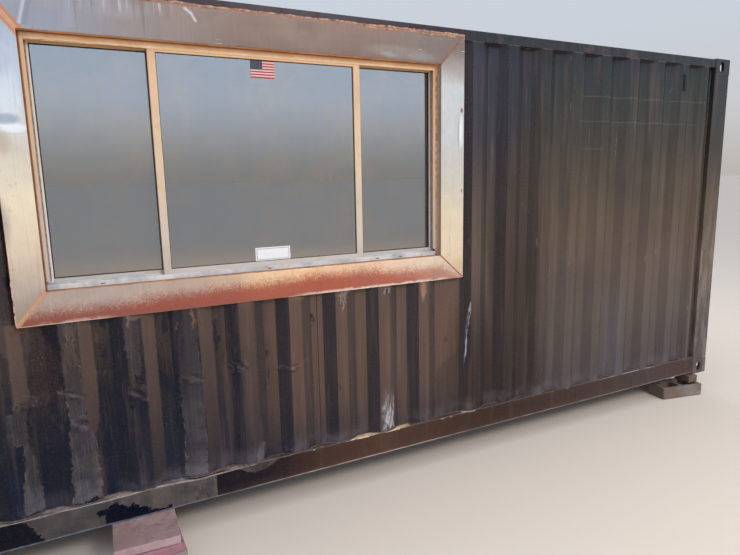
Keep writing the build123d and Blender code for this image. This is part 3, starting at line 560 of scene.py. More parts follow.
        drip = g.s(g.noise(1.0, 3, 0.5, v=g.vec(120, 120, 6, ox=3.0)), 0.60, 0.70)
        drip = g.mul(drip, g.box(x, z, -1.32, -1.19, 0.235, 0.33, 0.01))
        col = g.mix(g.mul(g.mul(drip, here), 0.6), col, C(150, 112, 88, k))
        col = g.mix(g.mul(g.s(streak, 0.54, 0.72), g.mul(g.s(x, -1.25, -0.8), 0.12)), col,
                    C(134, 112, 98, k))
    if kind == "rail":
        # dust and a painted highlight on the ledge, pale dust specks with painted sunlight on them, a painted
        # highlight along the lower edge, and browner towards the foot
        bits = g.noise(1.0, 5, 0.7, v=g.vec(11, 40, 40, ox=4.0))
        ledge = g.s(g.add(z, g.mul(g.sub(fine, 0.5), 0.004)), 0.3065, 0.3130)
        ledge = g.mul(ledge, g.add(0.45, g.mul(g.s(bits, 0.36, 0.56), 0.50)))
        ledge = g.mul(ledge, g.sub(1.0, g.mul(g.s(x, -1.15, -0.85), 0.62)))
        lt = g.mix(g.s(bits, 0.40, 0.62), C(128, 112, 102, k), C(166, 148, 136, k))
        col = g.mix(ledge, col, g.mix(g.s(x, -1.15, -0.85), lt, C(118, 94, 82, k)))
        if front:
            # painted sunlight: cream patches along the ledge
            for xa, xb, zb in ((-0.375, -0.270, 0.3085), (-0.150, -0.050, 0.3085),
                               (0.440, 0.540, 0.3085), (-0.290, 0.030, 0.3128)):
                ch = g.box(g.add(x, g.mul(g.sub(mid, 0.5), 0.03)), g.add(z, g.mul(g.sub(fine, 0.5), 0.006)),
                           xa, xb, zb, 0.40, 0.003)
                ch = g.mul(g.mul(ch, here), g.s(bits, 0.34, 0.50))
                col = g.mix(g.mul(ch, 0.85), col, C(226, 198, 160, k))
        spots = g.mul(g.s(bits, 0.60, 0.68), g.s(z, 0.300, 0.311))
        col = g.mix(g.mul(spots, 0.8), col, C(222, 210, 200, k))
        foot = g.inv(g.s(g.add(z, g.mul(g.sub(mid, 0.5), 0.006)), 0.1765, 0.1860))
        foot = g.mul(foot, g.add(0.40, g.mul(g.s(bits, 0.35, 0.56), 0.60)))
        ft = g.mix(g.s(x, -1.2, -0.6), C(128, 136, 152, k), C(196, 186, 176, k))
        col = g.mix(g.mul(foot, g.sub(1.0, g.mul(g.s(x, 0.2, 0.5), 0.45))), col, ft)
        low = g.mul(g.inv(g.s(wz, 0.17, 0.24)), g.add(0.03, g.mul(g.s(x, -1.50, -0.90), 0.17)))
        col = g.mix(low, col, C(104, 80, 68, k))
    if kind in ("frame", "door"):
        col = g.mix(g.mul(g.s(mid, 0.62, 0.70), 0.40), col, C(98, 72, 58, k))
    if kind == "frame" and front:
        # browner top rail over the window
        tr = g.mul(g.s(z, 2.676, 2.684), g.mul(g.inv(g.s(x, 0.36, 0.52)), g.inv(g.s(g.y, -1.20, -1.19))))
        col = g.mix(g.mul(tr, 0.85), col, C(52, 38, 46, k))
        # pale scuffed lower half of the corner post
        sc = g.mul(g.inv(g.s(z, 1.1, 1.9)), g.s(g.noise(1.0, 5, 0.65, v=g.vec(20, 20, 3)), 0.40, 0.66))
        col = g.mix(g.mul(sc, 0.45), col, C(150, 136, 126, k))
    # specks: chips, dust and splashes
    chip = g.inv(g.s(g.vor(46.0), 0.035, 0.075))
    chip = g.mul(chip, g.s(g.noise(3.0, 2, 0.5, off=21.0), 0.54, 0.62))
    col = g.mix(g.mul(chip, 0.40), col, C(170, 160, 154, k))
    col = g.mix(g.mul(g.sub(fine, 0.5), 0.22), col, C(150, 130, 120, k))
    g.colour(col)
    r = g.add(0.28, g.mul(g.s(streak, 0.40, 0.75), 0.20))
    g.rough(g.add(r, g.mul(g.sub(fine, 0.5), 0.22)))
    h = g.add(g.mul(fine, 0.10), g.add(g.mul(g.noise(22.0, 4, 0.6), 0.35), g.mul(streak, 0.25)))
    g.bump(h, 0.35, 0.0012)
    return g.mat


def plate(name, axis, a, b, stops, red=False, drips=False, mitres=(), seed=0.0, k=1.0,
          glow=()):
    """Bare sheet steel of one surround plate: tone along axis with painted reflections and shade, stains,
    scratches.
    """
    g = G(name, rough=0.40, metallic=0.35, spec=0.4)
    x, z = g.x, g.z
    v = x if axis == "x" else z
    wob = g.mul(g.sub(g.noise(2.3, 4, 0.55, off=seed), 0.5), 0.22)
    col = g.along(g.add(v, wob), a, b, stops)
    brush = g.noise(1.0, 4, 0.6, v=g.vec(130, 4, 3))
    cloud = g.noise(5.0, 5, 0.6, off=4.0 + seed)
    spot = g.noise(34.0, 5, 0.65, off=2.0 + seed)
    # painted reflections and painted shade, shaped as if drawn out by slight buckles of the sheet; some entries
    # are rust spots
    for gx, gz, rx, rz, tone, amount in glow:
        dx = g.mul(g.sub(g.add(x, g.mul(wob, 0.12)), gx), 1.0 / rx)
        dz = g.mul(g.sub(g.add(z, g.mul(wob, 0.20)), gz), 1.0 / rz)
        q = g.add(g.add(g.mul(dx, dx), g.mul(dz, dz)), g.mul(g.sub(spot, 0.5), 0.5))
        q = g.add(q, g.mul(g.sub(cloud, 0.5), 1.3))
        col = g.mix(g.mul(g.inv(g.s(q, 0.0, 1.9)), amount), col, tone)
    col = g.mix(g.mul(g.s(cloud, 0.40, 0.72), 0.20), col, C(124, 112, 102, k))
    if not drips:
        col = g.mix(g.mul(g.s(cloud, 0.50, 0.26), 0.20), col, C(236, 232, 226, k))
    col = g.mix(g.mul(g.s(spot, 0.62, 0.74), 0.30), col, C(128, 98, 76, k))
    col = g.mix(g.mul(g.sub(brush, 0.5), 0.12 if drips else 0.24), col, C(244, 240, 232, k))
    col = g.mix(g.mul(g.s(brush, 0.46, 0.30), 0.07 if drips else 0.14), col, C(96, 84, 76, k))
    pit = g.inv(g.s(g.vor(70.0), 0.03, 0.09))
    pit = g.mul(pit, g.s(g.noise(6.0, 2, 0.5, off=8.0), 0.52, 0.62))
    col = g.mix(g.mul(pit, 0.7), col, C(92, 62, 44, k))
    scr = g.s(g.noise(1.0, 2, 0.4, v=g.vec(9, 9, 120, rot=(0, math.radians(24), 0))), 0.70, 0.76)
    scr = g.mul(scr, g.s(g.noise(3.0, 2, 0.5, off=12.0), 0.52, 0.60))
    col = g.mix(g.mul(scr, 0.5), col, C(246, 244, 240, k))
    if drips:
        top = g.s(z, 2.50, 2.71)
        run = g.noise(1.0, 3, 0.55, v=g.vec(38, 38, 0.6, ox=1.5))
        d = g.s(g.sub(run, g.mul(g.inv(top), 0.20)), 0.50, 0.66)
        d = g.mul(d, g.mul(g.s(x, -1.80, -1.62), g.inv(g.mul(g.s(x, -1.45, -1.00), 0.90))))
        col = g.mix(g.mul(d, 0.42), col, C(96, 74, 64, k))
        # folds in the sheet drawn as painted highlights and painted shade: a curved bright one, and two straight
        # at the corner
        for ax, az, bx, bz, w, tone, amount in (
                (-1.200, 2.690, -1.172, 2.672, 0.008, C(196, 192, 188), 0.55),
                (-1.172, 2.672, -1.155, 2.640, 0.008, C(196, 192, 188), 0.62),
                (-1.170, 2.682, -1.140, 2.640, 0.014, C(100, 86, 80), 0.35),
                (-1.860, 2.680, -1.893, 2.560, 0.008, C(210, 216, 226), 0.45),
                (-1.842, 2.680, -1.875, 2.560, 0.012, C(118, 118, 126), 0.40),
                (-1.700, 2.660, -1.700, 2.580, 0.030, C(168, 166, 172), 0.30)):
            col = g.mix(g.mul(g.seg(x, z, ax, az, bx, bz, w * 1.5), amount), col, tone)
        # painted reflection: pale streaks near the top on the left
        pale = g.mul(g.s(run, 0.50, 0.38), g.mul(g.s(x, -1.72, -1.60), g.inv(g.s(x, -1.36, -1.20))))
        pale = g.mul(pale, g.s(brush, 0.40, 0.56))
        col = g.mix(g.mul(g.mul(pale, g.s(z, 2.62, 2.69)), 0.75), col, C(186, 184, 188, k))
        # rust freckles and a brown rim under the bead
        fr = g.mul(g.s(g.noise(95.0, 4, 0.7, off=2.2), 0.60, 0.68),
                   g.mx(g.box(x, z, -0.95, -0.72, 2.585, 2.68, 0.03), g.mul(g.s(z, 2.60, 2.70), 0.35)))
        col = g.mix(g.mul(fr, 0.8), col, C(112, 66, 44, k))
        rim = g.mul(g.s(g.add(z, g.mul(g.sub(spot, 0.5), 0.03)), 2.694, 2.710), 0.65)
        col = g.mix(rim, col, C(122, 82, 64, k))
    if red:
        # red oxide sprayed along the lower half, fading upwards in specks
        edge = g.along(x, SUR_L, SUR_R, [
            (0.0, (0.36,) * 3 + (1,)), (0.10, (0.36,) * 3 + (1,)), (0.22, (0.47,) * 3 + (1,)),
            (0.34, (0.52,) * 3 + (1,)), (0.47, (0.57,) * 3 + (1,)), (0.575, (0.72,) * 3 + (1,)),
            (0.66, (0.69,) * 3 + (1,)), (0.745, (0.70,) * 3 + (1,)), (0.765, (0.60,) * 3 + (1,)), (0.83, (0.53,) * 3 + (1,)),
            (0.87, (0.56,) * 3 + (1,)), (0.92, (0.60,) * 3 + (1,)), (0.955, (0.40,) * 3 + (1,)),
            (1.0, (0.02,) * 3 + (1,))])
        up = g.m("DIVIDE", g.sub(z, SUR_B), REV_B - SUR_B)
        soft = g.mul(g.sub(g.noise(3.0, 4, 0.6, off=6.0), 0.5), 0.42)
        grain = g.add(g.mul(g.sub(g.noise(190.0, 3, 0.8), 0.5), 2.0),
                      g.mul(g.sub(g.noise(105.0, 3, 0.7, off=14.0), 0.5), 1.1))
        blot = g.mul(g.sub(g.noise(40.0, 4, 0.7, off=9.0), 0.5), 0.55)
        amt = g.s(g.add(g.add(g.sub(edge, up), soft), g.mul(g.add(grain, blot), 0.50)), -0.26, 0.24)
        amt = g.mul(amt, g.sub(1.0, g.mul(g.s(x, -0.10, 0.30), 0.25)))
        tone = g.along(x, SUR_L, SUR_R, [
            (0.0, C(132, 56, 44, k)), (0.3, C(148, 62, 44, k)), (0.6, C(160, 62, 40, k)),
            (1.0, C(170, 86, 66, k))])
        tone = g.mix(g.mul(g.s(cloud, 0.42, 0.66), 0.5), tone, C(136, 70, 60, k))
        tone = g.mix(g.mul(g.s(grain, 0.10, 0.5), 0.30), tone, C(206, 140, 108, k))
        tone = g.mix(g.mul(g.s(up, 0.22, 0.02), 0.45), tone, C(128, 62, 54, k))
        col = g.mix(g.mul(amt, 0.90), col, tone)
        # a pale band just above the lower edge
        foot = g.s(g.add(z, g.mul(g.sub(g.noise(30.0, 5, 0.7), 0.5), 0.022)), SUR_B + 0.016, SUR_B + 0.003)
        pale = g.mx(g.mul(g.s(x, -0.75, -0.55), g.inv(g.s(x, 0.24, 0.34))), g.mul(
            g.box(x, z, -1.93, -1.66, 0.0, 3.0, 0.05), 0.5))
        pale = g.mul(pale, g.s(g.noise(14.0, 4, 0.6, off=4.0), 0.34, 0.50))
        col = g.mix(g.mul(foot, g.mul(pale, 0.85)), col, C(226, 196, 178, k))
    for (ax, az, bx, bz, w, tone, amount) in mitres:
        wx = g.add(x, g.mul(g.sub(spot, 0.5), w * 0.7))
        ln = g.line(wx, z, ax, az, bx, bz, w)
        col = g.mix(g.mul(g.s(ln, 0.0, 0.45), amount), col, tone)
        core = g.line(wx, z, ax, az, bx, bz, w * 0.45)
        col = g.mix(g.mul(core, 0.5 if w > 0.012 else 0.12), col, C(226, 190, 160, k))
    g.colour(col)
    r = g.add(0.30, g.mul(g.s(cloud, 0.35, 0.75), 0.22))
    g.rough(g.add(r, g.mul(g.sub(brush, 0.5), 0.18)))
    h = g.add(g.mul(brush, 0.10), g.mul(g.noise(3.2, 3, 0.5, off=3.0 + seed), 4.0))
    g.bump(h, 0.30, 0.0016)
    return g.mat


def almond(name, tone="jamb"):
    """Window aluminium: almond paint, chalked and stained."""
    g = G(name, rough=0.42, spec=0.5)
    z, x = g.z, g.x
    n = g.noise(9.0, 5, 0.6)
    f = g.noise(120.0, 3, 0.6)
    if tone == "head":
        col = g.mix(g.s(n, 0.35, 0.65), C(220, 178, 132), C(232, 200, 158))
        col = g.mix(g.mul(g.s(z, 2.524, 2.534), 0.75), col, C(186, 118, 66))
        # brown tide line along the lower edge of the face
        tz = g.add(z, g.mul(g.sub(g.noise(16.0, 4, 0.6, off=6.0), 0.5), 0.016))
        tide = g.inv(g.s(g.m("ABSOLUTE", g.sub(tz, 2.5062)), 0.0006, 0.0030))
        tide = g.mul(tide, g.sub(1.0, g.mul(g.s(x, -1.46, -1.36), 0.80)))
        col = g.mix(g.mul(tide, g.mul(g.s(n, 0.36, 0.52), 0.85)), col, C(138, 86, 52))
    elif tone == "sill":
        col = g.mix(g.s(n, 0.35, 0.65), C(176, 174, 172), C(212, 208, 202))
        streak = g.noise(1.0, 5, 0.7, v=g.vec(3, 40, 60))
        col = g.mix(g.mul(g.s(streak, 0.52, 0.70), 0.45), col, C(136, 126, 118))
        col = g.mix(g.mul(g.s(g.noise(26.0, 4, 0.6), 0.62, 0.72), 0.5), col, C(150, 112, 86))
    elif tone == "stile":
        col = g.along(z, 1.39, 2.54, [
            (0.0, C(226, 220, 220)), (0.25, C(224, 214, 208)), (0.60, C(220, 204, 192)),
            (1.0, C(218, 198, 182))])
        col = g.mix(g.mul(g.s(n, 0.45, 0.72), 0.25), col, C(190, 168, 150))
    else:
        col = g.along(z, 1.39, 2.54, [
            (0.0, C(188, 182, 174)), (0.18, C(200, 182, 162)), (0.55, C(212, 182, 150)),
            (1.0, C(214, 172, 128))])
        col = g.mix(g.mul(g.s(n, 0.45, 0.72), 0.35), col, C(176, 146, 120))
    col = g.mix(g.mul(g.s(f, 0.60, 0.75), 0.25), col, C(140, 112, 92))
    g.colour(col)
    g.rough(g.add(0.36, g.mul(n, 0.25)))
    g.bump(g.add(g.mul(f, 0.2), g.mul(g.noise(30.0, 3, 0.5), 0.4)), 0.2, 0.0006)
    return g.mat


def plain(name, c1, c2, scale=30.0, rough=0.6, bump=0.4, dist=0.001, metallic=0.0, c3=None,
          spec=0.5):
    """Two-tone mottled finish with a fine grain."""
    g = G(name, rough=rough, metallic=metallic, spec=spec)
    n = g.noise(scale, 5, 0.6)
    f = g.noise(scale * 7, 4, 0.65)
    col = g.mix(g.s(n, 0.35, 0.65), c1, c2)
    if c3:
        col = g.mix(g.mul(g.s(g.noise(scale * 0.35, 4, 0.6, off=4.4), 0.52, 0.68), 0.8), col, c3)
    g.colour(col)
    g.rough(g.add(rough - 0.08, g.mul(f, 0.16)))
    g.bump(g.add(g.mul(n, 0.6), g.mul(f, 0.4)), bump, dist)
    return g.mat


def concrete(name, base, dark, light, stain=None, scale=1.0, side=None, spot=None):
    g = G(name, rough=0.88, spec=0.3)
    n = g.noise(7.0 * scale, 5, 0.6)
    f = g.noise(150.0, 5, 0.7)
    pits = g.inv(g.s(g.vor(95.0), 0.10, 0.30))
    col = g.mix(g.s(n, 0.30, 0.70), base, light)
    col = g.mix(g.mul(g.s(g.noise(26.0, 5, 0.65, off=2.0), 0.50, 0.68), 0.55), col, dark)
    if stain:
        col = g.mix(g.mul(g.s(g.noise(3.5, 4, 0.6, off=5.0), 0.45, 0.65), 0.7), col, stain)
    col = g.mix(g.mul(pits, 0.35), col, dark)
    if side:
        # painted light: the sides paler than the top face
        up = g.new("ShaderNodeSeparateXYZ")
        g.nt.links.new(g.new("ShaderNodeTexCoord").outputs["Normal"], up.inputs[0])
        col = g.mix(g.mul(g.inv(g.s(up.outputs[2], 0.25, 0.75)), 0.75), col,
                    g.mix(g.mul(g.s(n, 0.40, 0.62), 0.5), side, base))
    if spot:
        # the one under the pavers is a paler mix
        near = g.mul(g.inv(g.s(g.m("ABSOLUTE", g.sub(g.x, -1.57)), 0.30, 0.34)), 0.7)
        col = g.mix(near, col, g.mix(g.mul(g.s(n, 0.40, 0.62), 0.5), spot, base))
    col = g.mix(g.mul(g.sub(f, 0.5), 0.9), col, light)
    g.colour(col)
    g.bump(g.sub(g.mul(f, 0.8), g.mul(pits, 0.5)), 0.7, 0.0014)
    return g.mat


def wood(name, c1, c2, axis="x", ply=False):
    g = G(name, rough=0.72)
    v = g.vec(6, 60, 60) if axis == "x" else g.vec(60, 6, 60)
    n = g.noise(1.0, 5, 0.6, dist=0.6, v=v)
    col = g.mix(g.s(n, 0.35, 0.65), c1, c2)
    col = g.mix(g.mul(g.s(g.noise(8.0, 4, 0.6), 0.5, 0.7), 0.5), col, C(70, 56, 46))
    if ply:
        # sheet joints across the floor every 1.2 m
        f = g.m("FRACT", g.mul(g.add(g.x, 3.0), 1 / 1.2))
        j = g.inv(g.s(g.mn(f, g.sub(1.0, f)), 0.001, 0.004))
        col = g.mix(g.mul(j, 0.9), col, C(24, 20, 18))
    g.colour(col)
    g.bump(n, 0.4, 0.001)
    return g.mat


def glass(name):
    """Tinted float glass, dusty, that mirrors the bright side of the room."""
    g = G(name, rough=0.02, metallic=0.50)
    b = g.b
    dust = g.noise(3.0, 5, 0.65)
    smear = g.noise(1.0, 4, 0.6, v=g.vec(9, 9, 2))
    runs = g.mul(g.s(g.noise(1.0, 4, 0.6, v=g.vec(34, 34, 1.3, ox=2.0)), 0.56, 0.70),
                 g.s(g.noise(2.4, 3, 0.5, off=3.0), 0.44, 0.60))
    # dust lies along the foot of the panes and in old splashes
    low = g.mul(g.inv(g.s(g.add(g.z, g.mul(g.sub(dust, 0.5), 0.12)), 1.43, 1.60)), 0.45)
    dots = g.mul(g.inv(g.s(g.vor(30.0), 0.05, 0.16)), g.s(g.noise(4.0, 3, 0.6, off=6.0), 0.54, 0.64))
    film = g.mx(low, g.mul(g.mx(runs, dots), 0.30))
    b.inputs["IOR"].default_value = 2.0
    b.inputs["Transmission Weight"].default_value = 0.92
    col = g.mix(g.s(dust, 0.40, 0.75), C(184, 190, 194), C(200, 196, 190))
    g.colour(g.mix(film, col, C(206, 184, 160)))
    g.rough(g.add(g.add(0.012, g.mul(g.s(smear, 0.55, 0.8), 0.05)), g.mul(film, 0.30)))
    g.bump(g.noise(2.2, 2, 0.5), 0.06, 0.004)
    return g.mat


# surround mitre lines: from each inner corner to the outer corner
MIT = {
    "lb": (REV_L, REV_B, SUR_L, SUR_B), "lt": (REV_L, REV_T, SUR_L, SUR_T),
    "rb": (REV_R, REV_B, SUR_R, SUR_B), "rt": (REV_R, REV_T, SUR_R, SUR_T)}
ORANGE, BROWN, TAN = C(190, 124, 78), C(150, 96, 70), C(192, 140, 104)


def mit(key, w, tone, amount):
    return MIT[key] + (w, tone, amount)


M_WALL = paint("paint_front_wall", front=True, kind="wall")
M_RAIL = paint("paint_bottom_rail", front=True, kind="rail")
M_FRAME = paint("paint_frame", front=True, kind="frame", seed=4.0)
M_BACK = paint("paint_back_wall", kind="wall2", seed=9.0)
M_DOOR = paint("paint_doors", kind="door", seed=13.0)
M_ROOF = plain("roof_paint", C(70, 71, 76), C(92, 89, 87), 2.6, 0.62, 0.4, 0.002,
               c3=C(110, 86, 72), spec=0.2)
M_UNDER = plain("underframe_paint", C(44, 42, 42, .7), C(70, 62, 58, .7), 5.0, 0.75, 0.5, 0.002,
                c3=C(96, 72, 58, .7))
# surround plates: the tone stops and glows are the steel's own colour with painted reflections of sky and ground
# and painted shade laid over it
M_LEFT = plate("surround_steel_left", "z", SUR_B, SUR_T, [
    (0.00, C(150, 134, 122)), (0.10, C(180, 162, 148)), (0.24, C(226, 206, 178)),
    (0.40, C(240, 224, 192)), (0.54, C(212, 204, 188)), (0.64, C(206, 210, 208)),
    (0.74, C(194, 202, 210)), (0.82, C(180, 188, 200)), (0.92, C(162, 172, 186)),
    (1.00, C(154, 162, 176))],
    mitres=(mit("lb", 0.017, TAN, 0.80), mit("lt", 0.030, ORANGE, 0.9)), seed=1.0,
    glow=((-1.965, 2.270, 0.045, 0.09, C(226, 234, 240), 0.40),
          (-1.975, 2.122, 0.060, 0.020, C(244, 250, 252), 0.70),
          (-1.990, 2.158, 0.050, 0.022, C(138, 154, 176), 0.75),
          (-2.010, 2.060, 0.030, 0.050, C(184, 158, 132), 0.45),
          (-2.045, 1.720, 0.030, 0.110, C(146, 142, 144), 0.55)))
M_RIGHT = plate("surround_steel_right", "z", SUR_B, SUR_T, [
    (0.00, C(206, 172, 140)), (0.10, C(226, 203, 170)), (0.28, C(222, 206, 178)),
    (0.42, C(202, 196, 181)), (0.58, C(190, 191, 188)), (0.78, C(186, 190, 187)),
    (0.85, C(158, 150, 144)), (0.93, C(114, 98, 91)), (1.00, C(106, 90, 84))],
    mitres=(mit("rb", 0.006, C(126, 78, 58), 0.9), mit("rt", 0.009, C(116, 66, 48), 0.9)), seed=2.0,
    glow=((0.405, 2.150, 0.012, 0.09, C(236, 240, 238), 0.75),
          (0.385, 2.140, 0.006, 0.08, C(150, 146, 140), 0.45),
          (0.408, 2.272, 0.010, 0.014, C(150, 66, 44), 0.95),
          (0.414, 1.795, 0.006, 0.010, C(150, 90, 64), 0.8)))
M_TOPP = plate("surround_steel_top", "x", SUR_L, SUR_R, [
    (0.00, C(158, 158, 166)), (0.12, C(147, 146, 150)), (0.24, C(133, 124, 121)),
    (0.34, C(122, 107, 100)), (0.42, C(104, 87, 79)), (0.48, C(98, 79, 70)),
    (0.56, C(98, 79, 70)), (0.70, C(104, 84, 74)),
    (0.86, C(113, 98, 90)), (1.00, C(107, 95, 89))],
    drips=True, mitres=(mit("lt", 0.030, ORANGE, 0.9), mit("rt", 0.009, C(116, 66, 48), 0.9)),
    seed=3.0, glow=((-1.82, 2.60, 0.12, 0.05, C(138, 142, 156), 0.55),
                    (-1.52, 2.66, 0.13, 0.04, C(150, 146, 148), 0.50),
                    (-0.62, 2.60, 0.30, 0.05, C(116, 96, 84), 0.35),
                    (-0.02, 2.580, 0.20, 0.034, C(136, 128, 122), 0.45),
                    (-0.10, 2.560, 0.05, 0.014, C(156, 152, 148), 0.35),
                    (0.13, 2.560, 0.09, 0.022, C(142, 138, 134), 0.35)))
M_BOTP = plate("surround_steel_bottom", "x", SUR_L, SUR_R, [
    (0.00, C(180, 156, 140)), (0.14, C(182, 162, 150)), (0.30, C(190, 164, 146)),
    (0.40, C(206, 176, 148)), (0.47, C(244, 204, 160)), (0.60, C(236, 192, 150)),
    (0.75, C(236, 200, 168)), (0.88, C(226, 202, 176)), (1.00, C(208, 186, 166))],
    red=True, mitres=(mit("lb", 0.017, TAN, 0.80), mit("rb", 0.007, BROWN, 0.9)), seed=5.0)
M_REV = plain("reveal_steel", C(164, 112, 76), C(196, 144, 102), 14.0, 0.62, 0.4, 0.001,
              c3=C(124, 84, 62))
M_JAMB = almond("window_paint")
M_STILE = almond("window_paint_stiles", "stile")
M_HEAD = almond("window_paint_head", "head")
M_SILL = almond("window_paint_sill", "sill")
M_GLASS = glass("window_glass")
M_GASKET = plain("glazing_gasket", C(20, 19, 19), C(36, 33, 31), 60.0, 0.7, 0.3, 0.0004)
M_PILE = plain("pile_strip", C(122, 106, 98), C(158, 144, 134), 60.0, 0.8, 0.4, 0.0006)
M_FOAM = plain("rust_bead", C(146, 102, 80), C(186, 146, 122), 45.0, 0.85, 0.8, 0.002,
               c3=C(108, 68, 54))


def banded(name, axis, a, b, stops, scale, mottle, rough=0.6, spec=0.4, wob=0.02):
    """Mottled finish whose tone changes along one axis."""
    g = G(name, rough=rough, spec=spec)
    n = g.noise(scale, 5, 0.65)
    f = g.noise(scale * 5, 4, 0.65, off=2.0)
    v = {"x": g.x, "y": g.y, "z": g.z}[axis]
    col = g.along(g.add(v, g.mul(g.sub(g.noise(11.0, 4, 0.6, off=3.0), 0.5), wob)), a, b, stops)
    col = g.mix(g.mul(g.s(n, 0.46, 0.66), 0.55), col, mottle)
    col = g.mix(g.mul(g.sub(f, 0.5), 0.5), col, C(240, 226, 210))
    g.colour(col)
    g.rough(g.add(rough - 0.08, g.mul(f, 0.16)))
    g.bump(g.add(g.mul(n, 0.6), g.mul(f, 0.4)), 0.5, 0.001)
    return g.mat


M_EDGE = banded("plate_edge_bead", "x", -2.05, 0.45, [
    (0.0, C(206, 160, 140)), (0.06, C(214, 186, 172)), (0.14, C(214, 176, 158)),
    (0.19, C(142, 82, 68)), (0.50, C(136, 74, 60)), (0.56, C(206, 168, 150)),
    (0.66, C(226, 200, 184)), (0.90, C(228, 206, 190)), (0.95, C(176, 116, 96)),
    (1.0, C(196, 160, 140))], 60.0, C(168, 104, 86), 0.75, wob=0.10)


def reveal_sides_mat():
    """Rusty on the left return; on the right one bare at the front, creamed at the back, those right-hand tones
    lightened as painted light on faces turned from the lamp.
    """
    g = G("reveal_steel_sides", rough=0.62, spec=0.4)
    y = g.add(g.y, g.mul(g.sub(g.noise(11.0, 4, 0.6, off=3.0), 0.5), 0.006))
    a = g.along(y, -1.216, -1.168, [
        (0.0, C(128, 112, 100)), (0.34, C(134, 114, 100)), (0.48, C(176, 134, 98)),
        (0.75, C(196, 150, 108)), (1.0, C(186, 136, 94))])
    b = g.along(y, -1.216, -1.168, [
        (0.0, C(150, 138, 126)), (0.34, C(158, 138, 122)), (0.60, C(184, 148, 122)),
        (0.85, C(212, 176, 144)), (1.0, C(220, 186, 154))])
    n = g.noise(14.0, 5, 0.65)
    f = g.noise(70.0, 4, 0.65, off=2.0)
    col = g.mix(g.s(g.x, -0.1, 0.1), a, b)
    col = g.mix(g.mul(g.s(n, 0.46, 0.66), 0.40), col, C(124, 98, 80))
    g.colour(g.mix(g.mul(g.sub(f, 0.5), 0.5), col, C(240, 226, 210)))
    g.rough(g.add(0.54, g.mul(f, 0.16)))
    g.bump(g.add(g.mul(n, 0.6), g.mul(f, 0.4)), 0.5, 0.001)
    return g.mat


M_REVS = reveal_sides_mat()
M_CAULK = banded("frame_caulk", "x", -2.06, 0.44, [
    (0.0, C(140, 92, 62)), (0.50, C(150, 100, 66)), (0.90, C(150, 102, 70)),
    (0.925, C(206, 168, 134)), (0.955, C(196, 158, 126)), (1.0, C(140, 96, 68))],
    30.0, C(104, 70, 50), 0.8, wob=0.01)
# a lighter copy of the reveal steel for the head: painted light from below on its underside
M_REVH = plain("reveal_steel_head", C(206, 142, 98), C(232, 174, 128), 14.0, 0.62, 0.4, 0.001,
               c3=C(168, 112, 80))
M_WELD = plain("painted_weld", C(70, 60, 57), C(112, 98, 90), 60.0, 0.55, 0.6, 0.001, spec=0.2)
# pale stops along the ledge edge: painted highlight on the battered edge, over dust
M_LEDGE = banded("ledge_edge", "x", -2.85, 2.85, [
    (0.0, C(90, 84, 84)), (0.14, C(132, 122, 118)), (0.28, C(150, 136, 128)),
    (0.33, C(92, 78, 74)), (0.42, C(66, 54, 50)), (0.433, C(210, 182, 148)),
    (0.455, C(204, 172, 134)), (0.470, C(104, 82, 70)), (0.486, C(206, 180, 150)),
    (0.500, C(150, 122, 100)), (0.51, C(74, 58, 52)), (0.572, C(80, 64, 56)),
    (0.585, C(160, 138, 116)), (0.60, C(64, 54, 50)), (0.78, C(74, 66, 64)),
    (0.84, C(132, 124, 120)), (0.89, C(150, 144, 140)), (0.93, C(84, 74, 70)),
    (1.0, C(74, 66, 62))], 15.0, C(66, 58, 58), 0.5, 0.25, wob=0.05)
M_MITRE = plain("mitre_weld", C(122, 78, 56), C(172, 126, 94), 40.0, 0.5, 0.6, 0.001,
                c3=C(98, 60, 46))
M_VENT = plain("vent_plastic", C(26, 26, 28), C(40, 40, 42), 40.0, 0.55, 0.3, 0.0005)
M_BLOCK = concrete("pier_concrete", C(114, 103, 94), C(78, 70, 63), C(142, 131, 121),
                   stain=C(108, 86, 70), spot=C(176, 172, 168))
M_PAVER = concrete("paver_concrete", C(144, 114, 109), C(112, 88, 85), C(168, 140, 135),
                   stain=C(148, 116, 108), scale=1.4, side=C(186, 156, 158))
M_PAVER2 = concrete("lower_paver_concrete", C(148, 104, 110), C(120, 82, 88), C(168, 126, 130),
                    scale=1.4, side=C(156, 108, 116))
M_PACK = wood("packing_timber", C(84, 66, 54), C(122, 98, 78), "y")
M_PLY = wood("floor_plywood", C(128, 92, 60), C(160, 120, 82), "x", ply=True)
M_RUBBER = plain("door_rubber", C(22, 22, 23), C(34, 33, 33), 30.0, 0.75, 0.3, 0.0005)
M_GEAR = paint("paint_lock_gear", kind="door", seed=17.0, k=0.75)

# ---------------------------------------------------------------------------
# mesh helpers
# ---------------------------------------------------------------------------
COLL = bpy.context.scene.collection


def piece(name, bm_or_data, mat, replaces=(), sharp=32.0, weighted=True):
    me = bpy.data.meshes.new(name)
    if isinstance(bm_or_data, bmesh.types.BMesh):
        bmesh.ops.recalc_face_normals(bm_or_data, faces=bm_or_data.faces)
        bm_or_data.to_mesh(me)
        bm_or_data.free()
    else:
        me.from_pydata(*bm_or_data)
    for p in me.polygons:
        p.use_smooth = True
    me.set_sharp_from_angle(angle=math.radians(sharp))
    o = bpy.data.objects.new(name, me)
    COLL.objects.link(o)
    me.materials.append(mat)
    if weighted:
        w = o.modifiers.new("normals", "WEIGHTED_NORMAL")
        w.keep_sharp = True
    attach(o, "root")
    if replaces:
        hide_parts(*replaces)
    return o


